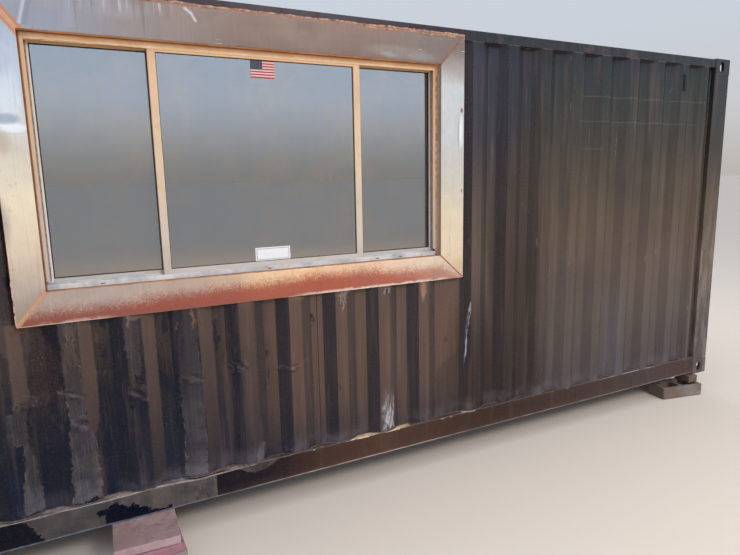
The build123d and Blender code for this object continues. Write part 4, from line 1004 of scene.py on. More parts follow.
def cad(name, mat, bevel=0.0, segments=2, angle=35.0):
    """Finish on a CAD node that stays, with softened edges."""
    o = NODES[name]
    if not o.material_slots:
        o.data.materials.append(mat)
    for sl in o.material_slots:
        sl.link = "OBJECT"
        sl.material = mat
    if bevel:
        w = o.modifiers.new("weld", "WELD")
        w.merge_threshold = 0.00002
        d = o.modifiers.new("planar", "DECIMATE")
        d.decimate_type = "DISSOLVE"
        d.angle_limit = math.radians(1.0)
        b = o.modifiers.new("edges", "BEVEL")
        b.width = bevel
        b.segments = segments
        b.limit_method = "ANGLE"
        b.angle_limit = math.radians(angle)
        b.harden_normals = False
    return o


def rounded(pts, r, seg=3):
    """Polyline with its inner corners rounded."""
    out = [pts[0]]
    for i in range(1, len(pts) - 1):
        p, a, b = Vector(pts[i]), Vector(pts[i - 1]), Vector(pts[i + 1])
        u, v = (a - p), (b - p)
        lu, lv = u.length, v.length
        u.normalize()
        v.normalize()
        ang = math.pi - u.angle(v)
        if ang < 0.02:
            out.append(pts[i])
            continue
        t = min(r * math.tan(ang / 2), 0.42 * lu, 0.42 * lv)
        s, e = p + u * t, p + v * t
        for j in range(seg + 1):
            q = j / seg
            w = (1 - q) ** 2 * s + 2 * q * (1 - q) * p + q ** 2 * e
            out.append((w.x, w.y))
    out.append(pts[-1])
    return out


def side_line():
    line = [(-WALL_X, DEPTH)]
    for k in range(LEFT_N):
        x = LEFT_FIRST + k * LEFT_PITCH
        line += [(x - SLOPE, DEPTH), (x, 0.0), (x + FLAT, 0.0), (x + FLAT + SLOPE, DEPTH)]
    for k in range(RIGHT_N):
        x = RIGHT_FIRST + k * RIGHT_PITCH
        line += [(x - SLOPE, DEPTH), (x, 0.0)]
        if k < RIGHT_N - 1:
            line += [(x + FLAT, 0.0), (x + FLAT + SLOPE, DEPTH)]
        else:
            line += [(x + 0.035, 0.0), (x + 0.060, DEPTH)]
    line.append((WALL_X, DEPTH))
    return line


def clip(pts, a, b):
    out = []
    for (x0, y0), (x1, y1) in zip(pts[:-1], pts[1:]):
        if x1 <= a or x0 >= b:
            continue
        p, q = (x0, y0), (x1, y1)
        if x0 < a:
            p = (a, y0 + (y1 - y0) * (a - x0) / (x1 - x0))
        if x1 > b:
            q = (b, y0 + (y1 - y0) * (b - x0) / (x1 - x0))
        if not out:
            out.append(p)
        out.append(q)
    return out


def divide(pts, step):
    out = [pts[0]]
    for a, b in zip(pts[:-1], pts[1:]):
        n = max(1, math.ceil((Vector(b) - Vector(a)).length / step - 1e-6))
        for j in range(1, n + 1):
            q = j / n
            out.append((a[0] + (b[0] - a[0]) * q, a[1] + (b[1] - a[1]) * q))
    return out


def offset(pts, t):
    ns = []
    for (x0, y0), (x1, y1) in zip(pts[:-1], pts[1:]):
        d = math.hypot(x1 - x0, y1 - y0)
        ns.append((-(y1 - y0) / d, (x1 - x0) / d))
    out = []
    for i, (x, y) in enumerate(pts):
        a = ns[max(0, i - 1)]
        b = ns[min(len(ns) - 1, i)]
        k = 1 + a[0] * b[0] + a[1] * b[1]
        out.append((x + (a[0] + b[0]) / k * t, y + (a[1] + b[1]) / k * t))
    return out


def grid_sheet(line, inner, rows, place):
    """Closed thin sheet from two matching polylines and a list of row heights."""
    n, m = len(line), len(rows)
    verts = []
    for layer in (line, inner):
        for r in rows:
            for p in layer:
                verts.append(place(p, r))
    faces = []
    o2 = n * m
    for j in range(m - 1):
        for i in range(n - 1):
            a = j * n + i
            faces.append((a, a + 1, a + n + 1, a + n))
            b = a + o2
            faces.append((b, b + n, b + n + 1, b + 1))
    for i in range(n - 1):
        faces.append((i + 1, i, o2 + i, o2 + i + 1))
        a = (m - 1) * n + i
        faces.append((a, a + 1, o2 + a + 1, o2 + a))
    for j in range(m - 1):
        a = j * n
        faces.append((a, a + n, o2 + a + n, o2 + a))
        a = j * n + n - 1
        faces.append((a + n, a, o2 + a, o2 + a + n))
    return verts, [], faces


def nz(x, y, z):
    return noise.noise(Vector((x, y, z)))


# knocks in the window wall: centre x, z, half sizes, depth
DENTS = [
    (-1.02, 1.120, 0.018, 0.012, 0.005), (-0.78, 1.070, 0.020, 0.030, 0.005),
    (-0.88, 0.740, 0.018, 0.020, 0.004), (-1.255, 0.770, 0.012, 0.060, 0.004), (-1.90, 0.720, 0.030, 0.050, 0.006),
    (-1.72, 1.020, 0.040, 0.060, 0.004), (-1.58, 0.640, 0.060, 0.030, 0.004),
    (-2.45, 0.880, 0.080, 0.022, 0.007), (-2.70, 0.900, 0.050, 0.030, 0.006),
    (0.36, 0.900, 0.020, 0.020, 0.004), (0.95, 0.700, 0.040, 0.050, 0.005),
    (1.34, 1.300, 0.050, 0.060, 0.004), (1.90, 0.520, 0.050, 0.040, 0.004),
    (2.32, 1.050, 0.030, 0.060, 0.004), (0.56, 0.48, 0.03, 0.03, 0.005),
]


def dent(x, z):
    d = 0.0014 * nz(x * 2.1, 4.0, z * 1.7) + 0.0006 * nz(x * 9.0, 1.0, z * 7.0)
    if x < -0.55:
        f = min(1.0, (-0.55 - x) / 0.5)
        d += 0.0026 * f * nz(x * 8.0, 5.0, z * 10.0) * max(0.0, min(1.0, (1.15 - z) / 0.1))
    for i, (cx, cz, rx, rz) in enumerate(KNOCKS):
        q = math.hypot((x - cx) / rx, (z - cz) / rz)
        if q < 2.2:
            # a curled buckle: a hollow with a ridge round it, bent by noise
            u = q + 0.45 * nz(x * 16.0, i * 3.0, z * 20.0)
            d += 0.0058 * math.cos(u * 3.4) * math.exp(-q * q * 0.9) + 0.0020 * math.exp(-q * q)
    for cx, cz, rx, rz, a in DENTS:
        q = ((x - cx) / rx) ** 2 + ((z - cz) / rz) ** 2
        if q < 5:
            d += 1.2 * a * math.exp(-q * 1.3)
    d = max(d, -0.0018)
    # the surround lies on the flats, so nothing stands proud there
    if SUR_L - 0.02 < x < SUR_R + 0.02 and z > 1.20:
        d = max(d, 0.0)
    return d


def zrows(z0, z1, step, fine=()):
    rows = [z0]
    while rows[-1] < z1 - 1e-6:
        s = step
        for a, b, f in fine:
            if a <= rows[-1] < b:
                s = min(s, f)
        rows.append(min(z1, rows[-1] + s))
    if len(rows) > 2 and rows[-1] - rows[-2] < 0.3 * step:
        del rows[-2]
    return rows


SIDE = side_line()


def wall(name, x0, x1, z0, z1, side, mat, node, step=0.022, rows=None, dents=True):
    line = rounded(clip(SIDE, x0, x1), 0.016, 3)
    if dents:
        low = [p for p in line if p[0] < -0.52]
        high = [p for p in line if p[0] >= -0.52]
        line = (divide(low, 0.0095) if len(low) > 1 else low) + (
            divide(high, step) if len(high) > 1 else high)
    else:
        line = divide(line, step)
    inner = [(min(max(x, x0), x1), d) for x, d in offset(line, T_WALL)]
    rows = rows or zrows(z0, z1, 0.030, ((0.655, 0.985, 0.0075),))

    def place(p, z):
        d = p[1] + (dent(p[0], z) if dents else 0.0)
        return (p[0], side * (YW - d), z)
    return piece(name, grid_sheet(line, inner, rows, place), mat, (node,))


CUT_L, CUT_R, CUT_B, CUT_T = REV_L - .003, REV_R + .003, REV_B - .003, REV_T + .003
wall("wall_sheet_left", -WALL_X, CUT_L, RAIL_Z1, TOP_Z0, -1, M_WALL, "front_wall_left")
wall("wall_sheet_right", CUT_R, WALL_X, RAIL_Z1, TOP_Z0, -1, M_WALL, "front_wall_right")
wall("wall_sheet_below_window", CUT_L, CUT_R, RAIL_Z1, CUT_B, -1, M_WALL,
     "front_wall_below_window")
wall("wall_sheet_above_window", CUT_L, CUT_R, CUT_T, TOP_Z0, -1, M_WALL,
     "front_wall_above_window")
wall("wall_sheet_back", -WALL_X, WALL_X, RAIL_Z1, TOP_Z0, 1, M_BACK, "back_wall",
     step=0.04, rows=zrows(RAIL_Z1, TOP_Z0, 0.12), dents=False)

# ---------------------------------------------------------------------------
# closed end wall with softened bends
# ---------------------------------------------------------------------------
EWY = HY - 0.162
end = [(-EWY, 0.0456)]
for k in range(8):
    yc = (k - 3.5) * 0.25
    end += [(yc - .073, .0456), (yc - .055, 0), (yc + .055, 0), (yc + .073, .0456)]
end.append((EWY, .0456))
end = divide(rounded(end, 0.014, 3), 0.05)
end_in = [(min(max(a, -EWY), EWY), d) for a, d in offset(end, T_WALL)]
piece("end_wall_sheet", grid_sheet(end, end_in, zrows(RAIL_Z1, TOP_Z0, 0.15),
      lambda p, z: (HX - 0.009 - p[1], p[0], z)), M_BACK,
      ("closed_end_wall",))


# ---------------------------------------------------------------------------
# bottom side rails: pressed channels with rounded edges; the window side has a
# battered upper edge
# ---------------------------------------------------------------------------
def sweep_x(loops, name, mat, replaces=(), sharp=32.0):
    """Closed solid from matching closed loops of points along X."""
    verts, faces = [], []
    for group in loops:
        base = len(verts)
        n = len(group[0])
        for lp in group:
            verts += lp
        for j in range(len(group) - 1):
            for i in range(n):
                a, b = base + j * n + i, base + j * n + (i + 1) % n
                faces.append((a, b, b + n, a + n))
        faces.append(tuple(base + i for i in range(n))[::-1])
        faces.append(tuple(base + (len(group) - 1) * n + i for i in range(n)))
    bm = bmesh.new()
    vs = [bm.verts.new(v) for v in verts]
    for f in faces:
        bm.faces.new([vs[i] for i in f])
    bmesh.ops.recalc_face_normals(bm, faces=bm.faces)
    bmesh.ops.triangulate(bm, faces=[f for f in bm.faces if len(f.verts) > 4])
    return piece(name, bm, mat, replaces, sharp)


def channel(s, x, wave):
    t, w = 0.0045, 0.048
    outer = [(YR - w, RAIL_Z1), (YR, RAIL_Z1), (YR, RAIL_Z0), (YR - w, RAIL_Z0)]
    inner = [(YR - w, RAIL_Z0 + t), (YR - t, RAIL_Z0 + t), (YR - t, RAIL_Z1 - t),
             (YR - w, RAIL_Z1 - t)]
    lp = rounded(outer, 0.009, 4) + rounded(inner, 0.005, 3)
    out = []
    for y, z in lp:
        f = max(0.0, (z - 0.27) / (RAIL_Z1 - 0.27)) * max(0.0, min(1.0, (y - (YR - 0.040)) / 0.03))
        dz, dy = wave(x)
        out.append((x, s * (y - dy * f), z - dz * f))
    return out


def battered(x):
    f = max(0.0, min(1.0, (-0.75 - x) / 0.35)) * 0.88 + 0.12
    dz = f * (0.0065 + 0.0120 * nz(x * 3.6, 1.0, 2.0) + 0.0040 * nz(x * 12.0, 6.0, 2.0))
    return max(0.0, dz), f * 0.004 * (0.5 + nz(x * 6.0, 9.0, 1.0))


RX = HX - 0.178
xs = [-RX + i * (2 * RX) / 240 for i in range(241)]
sweep_x([[channel(-1, x, battered) for x in xs],
         [channel(1, x, lambda x: (0.0, 0.0)) for x in (-RX, RX)]],
        "bottom_rails_pressed", M_RAIL, ("bottom_side_rails",))


# ---------------------------------------------------------------------------
# roof panel: cross troughs with pressed, sloping ends
# ---------------------------------------------------------------------------
def roof_depth(x, y):
    best = 0.0
    for k in range(25):
        xc = (k - 12) * 0.209
        d = abs(x - xc)
        if d < 0.060:
            e = min(max((0.059 - d) / 0.0135, 0.0), 1.0)
            best = e
    ye = min(max((1.050 - abs(y)) / 0.040, 0.0), 1.0)
    return 0.020 * best * (ye * ye * (3 - 2 * ye))


RTOP = TOP_Z1 + 0.002
rx = [-RX + 0.002]
for k in range(25):
    xc = (k - 12) * 0.209
    rx += [xc - .0610, xc - .0575, xc - .0475, xc - .0440, xc, xc + .0440, xc + .0475,
           xc + .0575, xc + .0610]
rx.append(RX - 0.002)
ry = [-1.210, -1.12, -1.052, -1.042, -1.032, -1.022, -1.012, -1.0, -0.8, -0.6, -0.4, -0.2, 0.0]
ry = ry + [-v for v in ry[-2::-1]]
rl = [(x, 0.0) for x in rx]
piece("roof_panel", grid_sheet(rl, [(x, T_WALL) for x in rx], ry,
      lambda p, y: (p[0], y, RTOP - roof_depth(p[0], y) - p[1] + (
          0.0 if abs(y) > 1.15 else 0.0016 * nz(p[0] * 1.3, y * 1.3, 2.0) - 0.0016))),
      M_ROOF, ("roof",), sharp=50)


# ---------------------------------------------------------------------------
# beads: tubes with a rough radius along a path
# ---------------------------------------------------------------------------
def tubes(name, paths, radius, mat, sides=7, squash=(1.0, 1.0)):
    bm = bmesh.new()
    for pts in paths:
        pts = [Vector(p) for p in pts]
        rings = []
        for i, p in enumerate(pts):
            t = (pts[min(i + 1, len(pts) - 1)] - pts[max(i - 1, 0)]).normalized()
            ref = Vector((0, 1, 0)) if abs(t.y) < 0.8 else Vector((0, 0, 1))
            u = t.cross(ref).normalized()
            v = u.cross(t).normalized()
            r = radius(p, i / max(1, len(pts) - 1)) if callable(radius) else radius
            rings.append([bm.verts.new(p + (u * math.cos(a) * squash[0] + v * math.sin(a) * squash[1]) * r)
                          for a in (2 * math.pi * j / sides for j in range(sides))])
        for a, b in zip(rings[:-1], rings[1:]):
            for j in range(sides):
                bm.faces.new((a[j], a[(j + 1) % sides], b[(j + 1) % sides], b[j]))
        bm.faces.new(rings[0][::-1])
        bm.faces.new(rings[-1])
    return piece(name, bm, mat, (), 60, weighted=False)


def span(a, b, step):
    n = max(1, int(abs(b - a) / step))
    return [a + (b - a) * i / n for i in range(n + 1)]


# weld between the wall sheet and the bottom rail, following the corrugation
path = divide(rounded(clip(SIDE, -WALL_X + 0.002, WALL_X - 0.002), 0.016, 2), 0.012)
tubes("wall_foot_weld", [[(x, -(YW - d - dent(x, RAIL_Z1)) - 0.001,
                           RAIL_Z1 + 0.0005) for x, d in path]],
      lambda p, q: 0.0030 + 0.0012 * nz(p.x * 60, p.y * 60, 0.5), M_WELD, sides=6)
tubes("wall_head_weld", [[(x, -(YW - d) - 0.0005, TOP_Z0) for x, d in clip(
      divide(SIDE, 0.03), SUR_R + 0.01, WALL_X - 0.002)]],
      lambda p, q: 0.0022 + 0.0008 * nz(p.x * 60, p.y * 60, 0.5), M_WELD, sides=6)
# wall to post welds, and post to casting welds at the closed end
tubes("post_welds", [
    [(sx * WALL_X, -(YW - DEPTH) - 0.001, z) for z in span(RAIL_Z1, TOP_Z0, 0.03)]
    for sx in (-1, 1)] + [
    [(x, -1.2165, z + 0.0005) for x in span(sx * 2.853, sx * 3.024, 0.012)]
    for sx in (-1, 1) for z in (0.278, 2.633)],
    lambda p, q: 0.0028 + 0.0010 * nz(p.x * 70, p.z * 70, 0.5), M_WELD, sides=6)

# battered outer edge of the rail ledge, with a painted highlight along it
tubes("rail_ledge_edge", [[(x, -(YR - 0.0052 - battered(x)[1]),
                            RAIL_Z1 - 0.0038 - battered(x)[0]) for x in span(-RX + .002, RX - .002, 0.03)]],
      lambda p, q: (0.0056 if p.x < -0.75 else 0.0042) + 0.0016 * nz(p.x * 9, 3.0, 0.0),
      M_LEDGE, sides=8)

# rust and foam along the top of the surround, with short runs
def bead_r(p, q):
    return 0.0050 + 0.0034 * nz(p.x * 17, 0.3, 0.0) + 0.0018 * nz(p.x * 60, 0.3, 4.0)


runs = []
rnd = random.Random(3)
x = SUR_L + 0.1
while x < SUR_R:
    ln = rnd.uniform(0.008, 0.020) * (1.7 if rnd.random() < 0.2 else 1.0)
    runs.append([(x + rnd.uniform(-.001, .001) * i, YS - 0.0012, SUR_T + 0.002 - ln * i / 4)
                 for i in range(5)])
    x += rnd.uniform(0.05, 0.22)
tubes("surround_top_bead", [[(x, YS + 0.0008, SUR_T - 0.0030 + 0.0050 * nz(x * 6, 0, 5.0)
                              + 0.0030 * nz(x * 31, 2.0, 5.0))
                             for x in span(SUR_L + .002, SUR_R - 0.002, 0.008)],
                            [(x, YS + 0.0008, SUR_T - 0.0150 + 0.0070 * nz(x * 9, 3.0, 5.0)
                              + 0.0040 * nz(x * 31, 7.0, 5.0))
                             for x in span(-0.26, 0.36, 0.008)]],
      bead_r, M_FOAM, sides=8, squash=(1.0, 0.55))
tubes("surround_top_bead_runs", runs, lambda p, q: 0.0038 * (1.15 - 0.75 * q), M_FOAM,
      sides=6, squash=(1.0, 0.5))
# pale ragged edge under the surround
tubes("surround_bottom_edge", [[(x, YS + 0.0008, SUR_B - 0.0006 + 0.0006 * nz(x * 11, 0, 5.0))
                                for x in span(SUR_L + .001, SUR_R - 0.001, 0.007)]],
      lambda p, q: 0.0019 + (0.0011 if p.x > -0.75 else 0.0003) * (0.6 + nz(p.x * 45, 0.3, 0.0)),
      M_EDGE, sides=6, squash=(1.0, 0.7))
tubes("surround_left_edge_bits", [[(SUR_L - 0.0002, YS + 0.0006, z) for z in span(a, b, 0.006)]
                                  for a, b in ((1.252, 1.298), (1.315, 1.342), (1.372, 1.455))],
      lambda p, q: 0.0030 + 0.0022 * nz(1.0, 0.3, p.z * 60), M_EDGE, sides=7, squash=(1.0, 0.5))
# brown sealant down the outer edges
tubes("surround_side_beads", [[(x, YS + 0.0014, z) for z in span(SUR_B + .001, SUR_T - 0.001, 0.012)]
                              for x in (SUR_L - 0.0004, SUR_R + 0.0004)],
      lambda p, q: 0.0020 + 0.0010 * nz(2.0, 0.3, p.z * 24), M_CAULK, sides=6, squash=(1.0, 0.6))
# welds along the mitres, ground nearly flush
wl = []
for key in ("lb", "lt", "rb", "rt"):
    ax, az, bx, bz = MIT[key]
    n = 26
    wl.append([(ax + (bx - ax) * i / n, YS + 0.0006, az + (bz - az) * i / n) for i in range(n + 1)])
tubes("surround_mitre_welds", wl, lambda p, q: 0.0016 + 0.0007 * nz(p.x * 80, p.z * 80, 1.0),
      M_MITRE, sides=6, squash=(1.0, 0.5))


# ---------------------------------------------------------------------------
# window: caulk, gaskets, weep slots
# ---------------------------------------------------------------------------
def ring(bm, out, inn, y0, y1, crown=0.0):
    """Rectangular ring between two rectangles (x0, x1, z0, z1), from y0 to y1."""
    def quad(r, y):
        x0, x1, z0, z1 = r
        return [bm.verts.new((x0, y, z0)), bm.verts.new((x1, y, z0)),
                bm.verts.new((x1, y, z1)), bm.verts.new((x0, y, z1))]
    mid = tuple((a + b) / 2 for a, b in zip(out, inn))
    loops = [quad(out, y0 + crown), quad(mid, y0), quad(inn, y0 + crown), quad(inn, y1), quad(out, y1)]
    for a, b in zip(loops, loops[1:] + loops[:1]):
        for i in range(4):
            bm.faces.new((a[i], a[(i + 1) % 4], b[(i + 1) % 4], b[i]))


def ring_piece(name, items, mat):
    bm = bmesh.new()
    for it in items:
        ring(bm, *it)
    return piece(name, bm, mat, (), 40)


ring_piece("frame_caulk_bead", [(
    (REV_L, REV_R, REV_B - 0.0002, REV_T), (FRM_L - 0.0004, FRM_R + 0.0004, FRM_B + 0.0015, FRM_T - 0.0008),
    FACE - 0.0035, FACE + 0.008, 0.0028)], M_CAULK)
MX0, MX1 = -1.3452, -0.2978
SXL, SXR = -1.8725, 0.2252
g1, g2 = -1.3792, -0.2638
G5 = 0.005
ring_piece("glazing_gaskets", [
    ((MX0, MX1, 1.4443, 2.4932), (MX0 + .0032, MX1 - .0032, 1.4475, 2.4900),
     FACE + 0.0105, FACE + 0.0139, 0.0010),
    ((SXL, g1, 1.4404, 2.4987), (SXL + .0052, g1 - .0036, 1.4448, 2.4943),
     FACE + 0.0420, FACE + 0.0479, 0.0010),
    ((g2, SXR, 1.4404, 2.4987), (g2 + .0036, SXR - .0052, 1.4448, 2.4943),
     FACE + 0.0420, FACE + 0.0479, 0.0010)], M_GASKET)


def slabs(name, boxes, mat, bevel=0.0, replaces=()):
    bm = bmesh.new()
    for x0, x1, y0, y1, z0, z1 in boxes:
        r = bmesh.ops.create_cube(bm, size=1.0)
        for v in r["verts"]:
            v.co = Vector((x0 + (v.co.x + .5) * (x1 - x0), y0 + (v.co.y + .5) * (y1 - y0),
                           z0 + (v.co.z + .5) * (z1 - z0)))
    if bevel:
        bmesh.ops.bevel(bm, geom=list(bm.edges), offset=bevel, segments=2, affect="EDGES",
                        profile=0.5)
    return piece(name, bm, mat, replaces, 40)


slabs("sill_weep_slots", [(x - .011, x + .011, FACE - 0.0006, FACE + 0.0004, 1.4025, 1.4065)
                          for x in (-1.666, -0.833, -0.167, -0.009)], M_GASKET, 0.0003)
# pile strips: between the jambs and the sashes, and against the middle light
slabs("jamb_pile_strips", [
    (-1.8874, -1.8812, FACE + 0.0290, FACE + 0.0362, 1.4335, 2.5035),
    (0.2324, 0.2386, FACE + 0.0290, FACE + 0.0362, 1.4335, 2.5035)], M_PILE, 0.0008)
slabs("pile_strips", [
    (-1.3792, -1.3452, FACE + 0.0275, FACE + 0.0355, 1.401, 2.528),
    (-0.2978, -0.2638, FACE + 0.0275, FACE + 0.0355, 1.401, 2.528)], M_GASKET, 0.0008)

# ---------------------------------------------------------------------------
# ventilator covers: flat hoods with a row of louvres
# ---------------------------------------------------------------------------
vents = []
for s, xf in ((-1, RIGHT_FIRST + 7 * RIGHT_PITCH), (1, RIGHT_FIRST + 7 * RIGHT_PITCH),
              (1, LEFT_FIRST + LEFT_PITCH)):
    x0, x1 = xf + 0.018, xf + 0.058
    ya, yb = sorted((s * YW, s * (YW + 0.004)))
    vents.append((x0, x1, ya, yb, 2.486, 2.616))
    for k in range(9):
        z = 2.494 + k * 0.0130
        ya, yb = sorted((s * (YW + 0.003), s * (YW + 0.010)))
        vents.append((x0 + 0.004, x1 - 0.004, ya, yb, z, z + 0.0075))
slabs("ventilator_covers", vents, M_VENT, 0.0008, ("ventilators",))

# ---------------------------------------------------------------------------
# striped flag and a plain card, stuck to the middle glass
# ---------------------------------------------------------------------------
YG = FACE + 0.014


def flag_mat(x0, x1, z0, z1):
    g = G("flag_print", rough=0.55)
    v = g.m("DIVIDE", g.sub(g.z, z0), z1 - z0)
    u = g.m("DIVIDE", g.sub(g.x, x0), x1 - x0)
    st = g.s(g.m("FRACT", g.mul(v, 6.5)), 0.49, 0.51)      # 13 stripes, red at both edges
    col = g.mix(st, C(158, 26, 32), C(212, 182, 176))
    can = g.box(u, v, -1.0, 0.5, 6 / 13, 2.0, 0.004)
    cu = g.sub(g.m("FRACT", g.mul(u, 12.0)), 0.5)
    cv = g.sub(g.m("FRACT", g.mul(v, 12.0)), 0.5)
    dot = g.inv(g.s(g.add(g.mul(cu, cu), g.mul(cv, cv)), 0.03, 0.07))
    col = g.mix(can, col, g.mix(g.mul(dot, 0.45), C(16, 22, 50), C(150, 156, 176)))
    g.colour(g.mix(g.mul(g.sub(g.noise(60.0, 4, 0.6), 0.5), 0.5), col, C(90, 70, 72)))
    g.bump(g.noise(14.0, 3, 0.5), 0.3, 0.002)
    return g.mat


def card_mat(x0, x1, z0, z1):
    g = G("card_print", rough=0.45)
    v = g.m("DIVIDE", g.sub(g.z, z0), z1 - z0)
    u = g.m("DIVIDE", g.sub(g.x, x0), x1 - x0)
    line = g.mul(g.box(u, v, 0.030, 0.970, 0.075, 0.925, 0.004),
                 g.inv(g.box(u, v, 0.050, 0.950, 0.130, 0.870, 0.004)))
    col = g.mix(g.mul(line, 0.75), C(226, 224, 222), C(120, 130, 152))
    g.colour(g.mix(g.mul(g.sub(g.noise(40.0, 4, 0.6), 0.5), 0.6), col, C(170, 160, 150)))
    return g.mat


FL = (-0.8810, -0.7530, 2.4030, 2.4925)
slabs("flag_panel", [(FL[0], FL[1], YG - 0.0012, YG, FL[2], FL[3])], flag_mat(*FL), 0.0003)
CD = (-0.905, -0.708, 1.4460, 1.5190)
slabs("plain_card", [(CD[0], CD[1], YG - 0.0020, YG, CD[2], CD[3])], card_mat(*CD), 0.0005)

# ---------------------------------------------------------------------------
# blocks and pavers: worn, grainy versions of the solids
# ---------------------------------------------------------------------------
def rough_copy(name, node, mat, voxel, amp, size, mats=None):
    src = NODES[node]
    me = src.data.copy()
    me.materials.clear()
    me.materials.append(mat)
    o = bpy.data.objects.new(name, me)
    COLL.objects.link(o)
    w = o.modifiers.new("weld", "WELD")
    w.merge_threshold = 0.00002
    b = o.modifiers.new("edges", "BEVEL")
    b.width, b.segments, b.limit_method = amp * 2.4, 2, "ANGLE"
    b.angle_limit = math.radians(40)
    r = o.modifiers.new("grid", "REMESH")
    r.mode, r.voxel_size, r.use_smooth_shade = "VOXEL", voxel, True
    for i, (sz, a) in enumerate(((size, amp), (size * 0.28, amp * 0.55))):
        t = bpy.data.textures.new(name + "_grain%d" % i, "CLOUDS")
        t.noise_scale, t.noise_depth = sz, 3
        d = o.modifiers.new("grain%d" % i, "DISPLACE")
        d.texture, d.strength, d.mid_level = t, a, 0.62
        d.texture_coords = "LOCAL"
    # the grain goes inwards only: every point stays in the box of its own solid
    ev = o.evaluated_get(bpy.context.evaluated_depsgraph_get())
    done = bpy.data.meshes.new_from_object(ev)
    bm0, bm1 = bmesh.new(), bmesh.new()
    bm0.from_mesh(src.data)
    bmesh.ops.remove_doubles(bm0, verts=list(bm0.verts), dist=0.00002)
    bm1.from_mesh(done)
    los, his = [], []
    left = set(bm0.verts)
    while left:
        stack, part = [left.pop()], []
        while stack:
            v = stack.pop()
            part.append(v.co.copy())
            for e in v.link_edges:
                w2 = e.other_vert(v)
                if w2 in left:
                    left.remove(w2)
                    stack.append(w2)
        los.append([min(c[i] for c in part) for i in range(3)])
        his.append([max(c[i] for c in part) for i in range(3)])
    for v in bm1.verts:
        c = v.co
        best = min(range(len(los)), key=lambda j: sum(
            max(los[j][i] - c[i], 0.0, c[i] - his[j][i]) ** 2 for i in range(3)))
        for i in range(3):
            c[i] = min(max(c[i], los[best][i] + 0.0002), his[best][i] - 0.0002)
    bm1.to_mesh(done)
    bm0.free()
    bm1.free()
    o.modifiers.clear()
    o.data = done
    for pl in done.polygons:
        pl.use_smooth = True
    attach(o, "root")
    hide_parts(node)
    return o


rough_copy("worn_blocks", "pier_blocks", M_BLOCK, 0.0065, 0.0030, 0.030)
rough_copy("worn_top_pavers", "top_pavers", M_PAVER, 0.0055, 0.0014, 0.020)
rough_copy("worn_lower_pavers", "lower_pavers", M_PAVER2, 0.0055, 0.0014, 0.020)

# ---------------------------------------------------------------------------
# CAD nodes that stay
# ---------------------------------------------------------------------------
for n in ("top_side_rails", "closed_end_sill", "closed_end_header", "door_header", "door_sill"):
    cad(n, M_FRAME, 0.0045)
for n in ("closed_end_posts", "door_end_posts"):
    cad(n, M_FRAME, 0.0040, 3)
for n in ("bottom_castings", "top_castings"):
    cad(n, M_FRAME, 0.0030, 2, 50)
for n in ("door_left", "door_right"):
    cad(n, M_DOOR, 0.0020)
for n in ("lock_rods", "rod_brackets_and_keepers", "door_handles"):
    cad(n, M_GEAR, 0.0015, 2, 50)
cad("door_hinges", M_DOOR, 0.0015, 2, 50)
cad("door_gaskets", M_RUBBER, 0.002)
cad("roof_header_plates", M_ROOF)
cad("cross_members", M_UNDER)
cad("floor_deck", M_PLY)
cad("surround_left", M_LEFT, 0.0007)
cad("surround_right", M_RIGHT, 0.0007)
cad("surround_top", M_TOPP, 0.0007)
cad("surround_bottom", M_BOTP, 0.0007)
cad("reveal_head", M_REVH)
cad("reveal_sill", M_REV)
cad("reveal_sides", M_REVS)
cad("window_head", M_HEAD, 0.0008)
cad("window_sill", M_SILL, 0.0008)
cad("window_jambs", M_JAMB, 0.0008)
for n in ("window_mullions", "middle_light_rails", "sash_rails"):
    cad(n, M_JAMB, 0.0010)
cad("sash_stiles", M_STILE, 0.0010)
cad("middle_glass", M_GLASS)
cad("sash_glass", M_GLASS)
cad("pier_packing", M_PACK, 0.002)

# ---------------------------------------------------------------------------
# studio: pale floor, soft light, the photograph's viewpoint
# ---------------------------------------------------------------------------
me = bpy.data.meshes.new("studio_floor")
me.from_pydata([(-400, -400, 0), (400, -400, 0), (400, 400, 0), (-400, 400, 0)], [],
               [(0, 1, 2, 3)])
floor = bpy.data.objects.new("studio_floor", me)
COLL.objects.link(floor)
fm = G("studio_floor", rough=0.9, spec=0.2)
fm.colour(C(224, 209, 192))
me.materials.append(fm.mat)

world = bpy.data.worlds.new("studio")
bpy.context.scene.world = world
world.use_nodes = True
wn = world.node_tree
wn.nodes.clear()
wo = wn.nodes.new("ShaderNodeOutputWorld")
bg = wn.nodes.new("ShaderNodeBackground")
tc = wn.nodes.new("ShaderNodeTexCoord")
sp = wn.nodes.new("ShaderNodeSeparateXYZ")
rp = wn.nodes.new("ShaderNodeValToRGB")
mr = wn.nodes.new("ShaderNodeMapRange")
wn.links.new(tc.outputs["Generated"], sp.inputs[0])
wn.links.new(sp.outputs[2], mr.inputs["Value"])
mr.inputs["From Min"].default_value = 0.0
mr.inputs["From Max"].default_value = 1.0
wn.links.new(mr.outputs[0], rp.inputs[0])
cr = rp.color_ramp
cr.elements[0].position, cr.elements[0].color = 0.0, (0.50, 0.465, 0.43, 1)
cr.elements[1].position, cr.elements[1].color = 1.0, (0.64, 0.69, 0.78, 1)
for pos, c in ((0.03, (0.53, 0.51, 0.49, 1)), (0.10, (0.60, 0.61, 0.63, 1)),
               (0.22, (0.60, 0.65, 0.72, 1)), (0.45, (0.60, 0.66, 0.77, 1))):
    cr.elements.new(pos).color = c
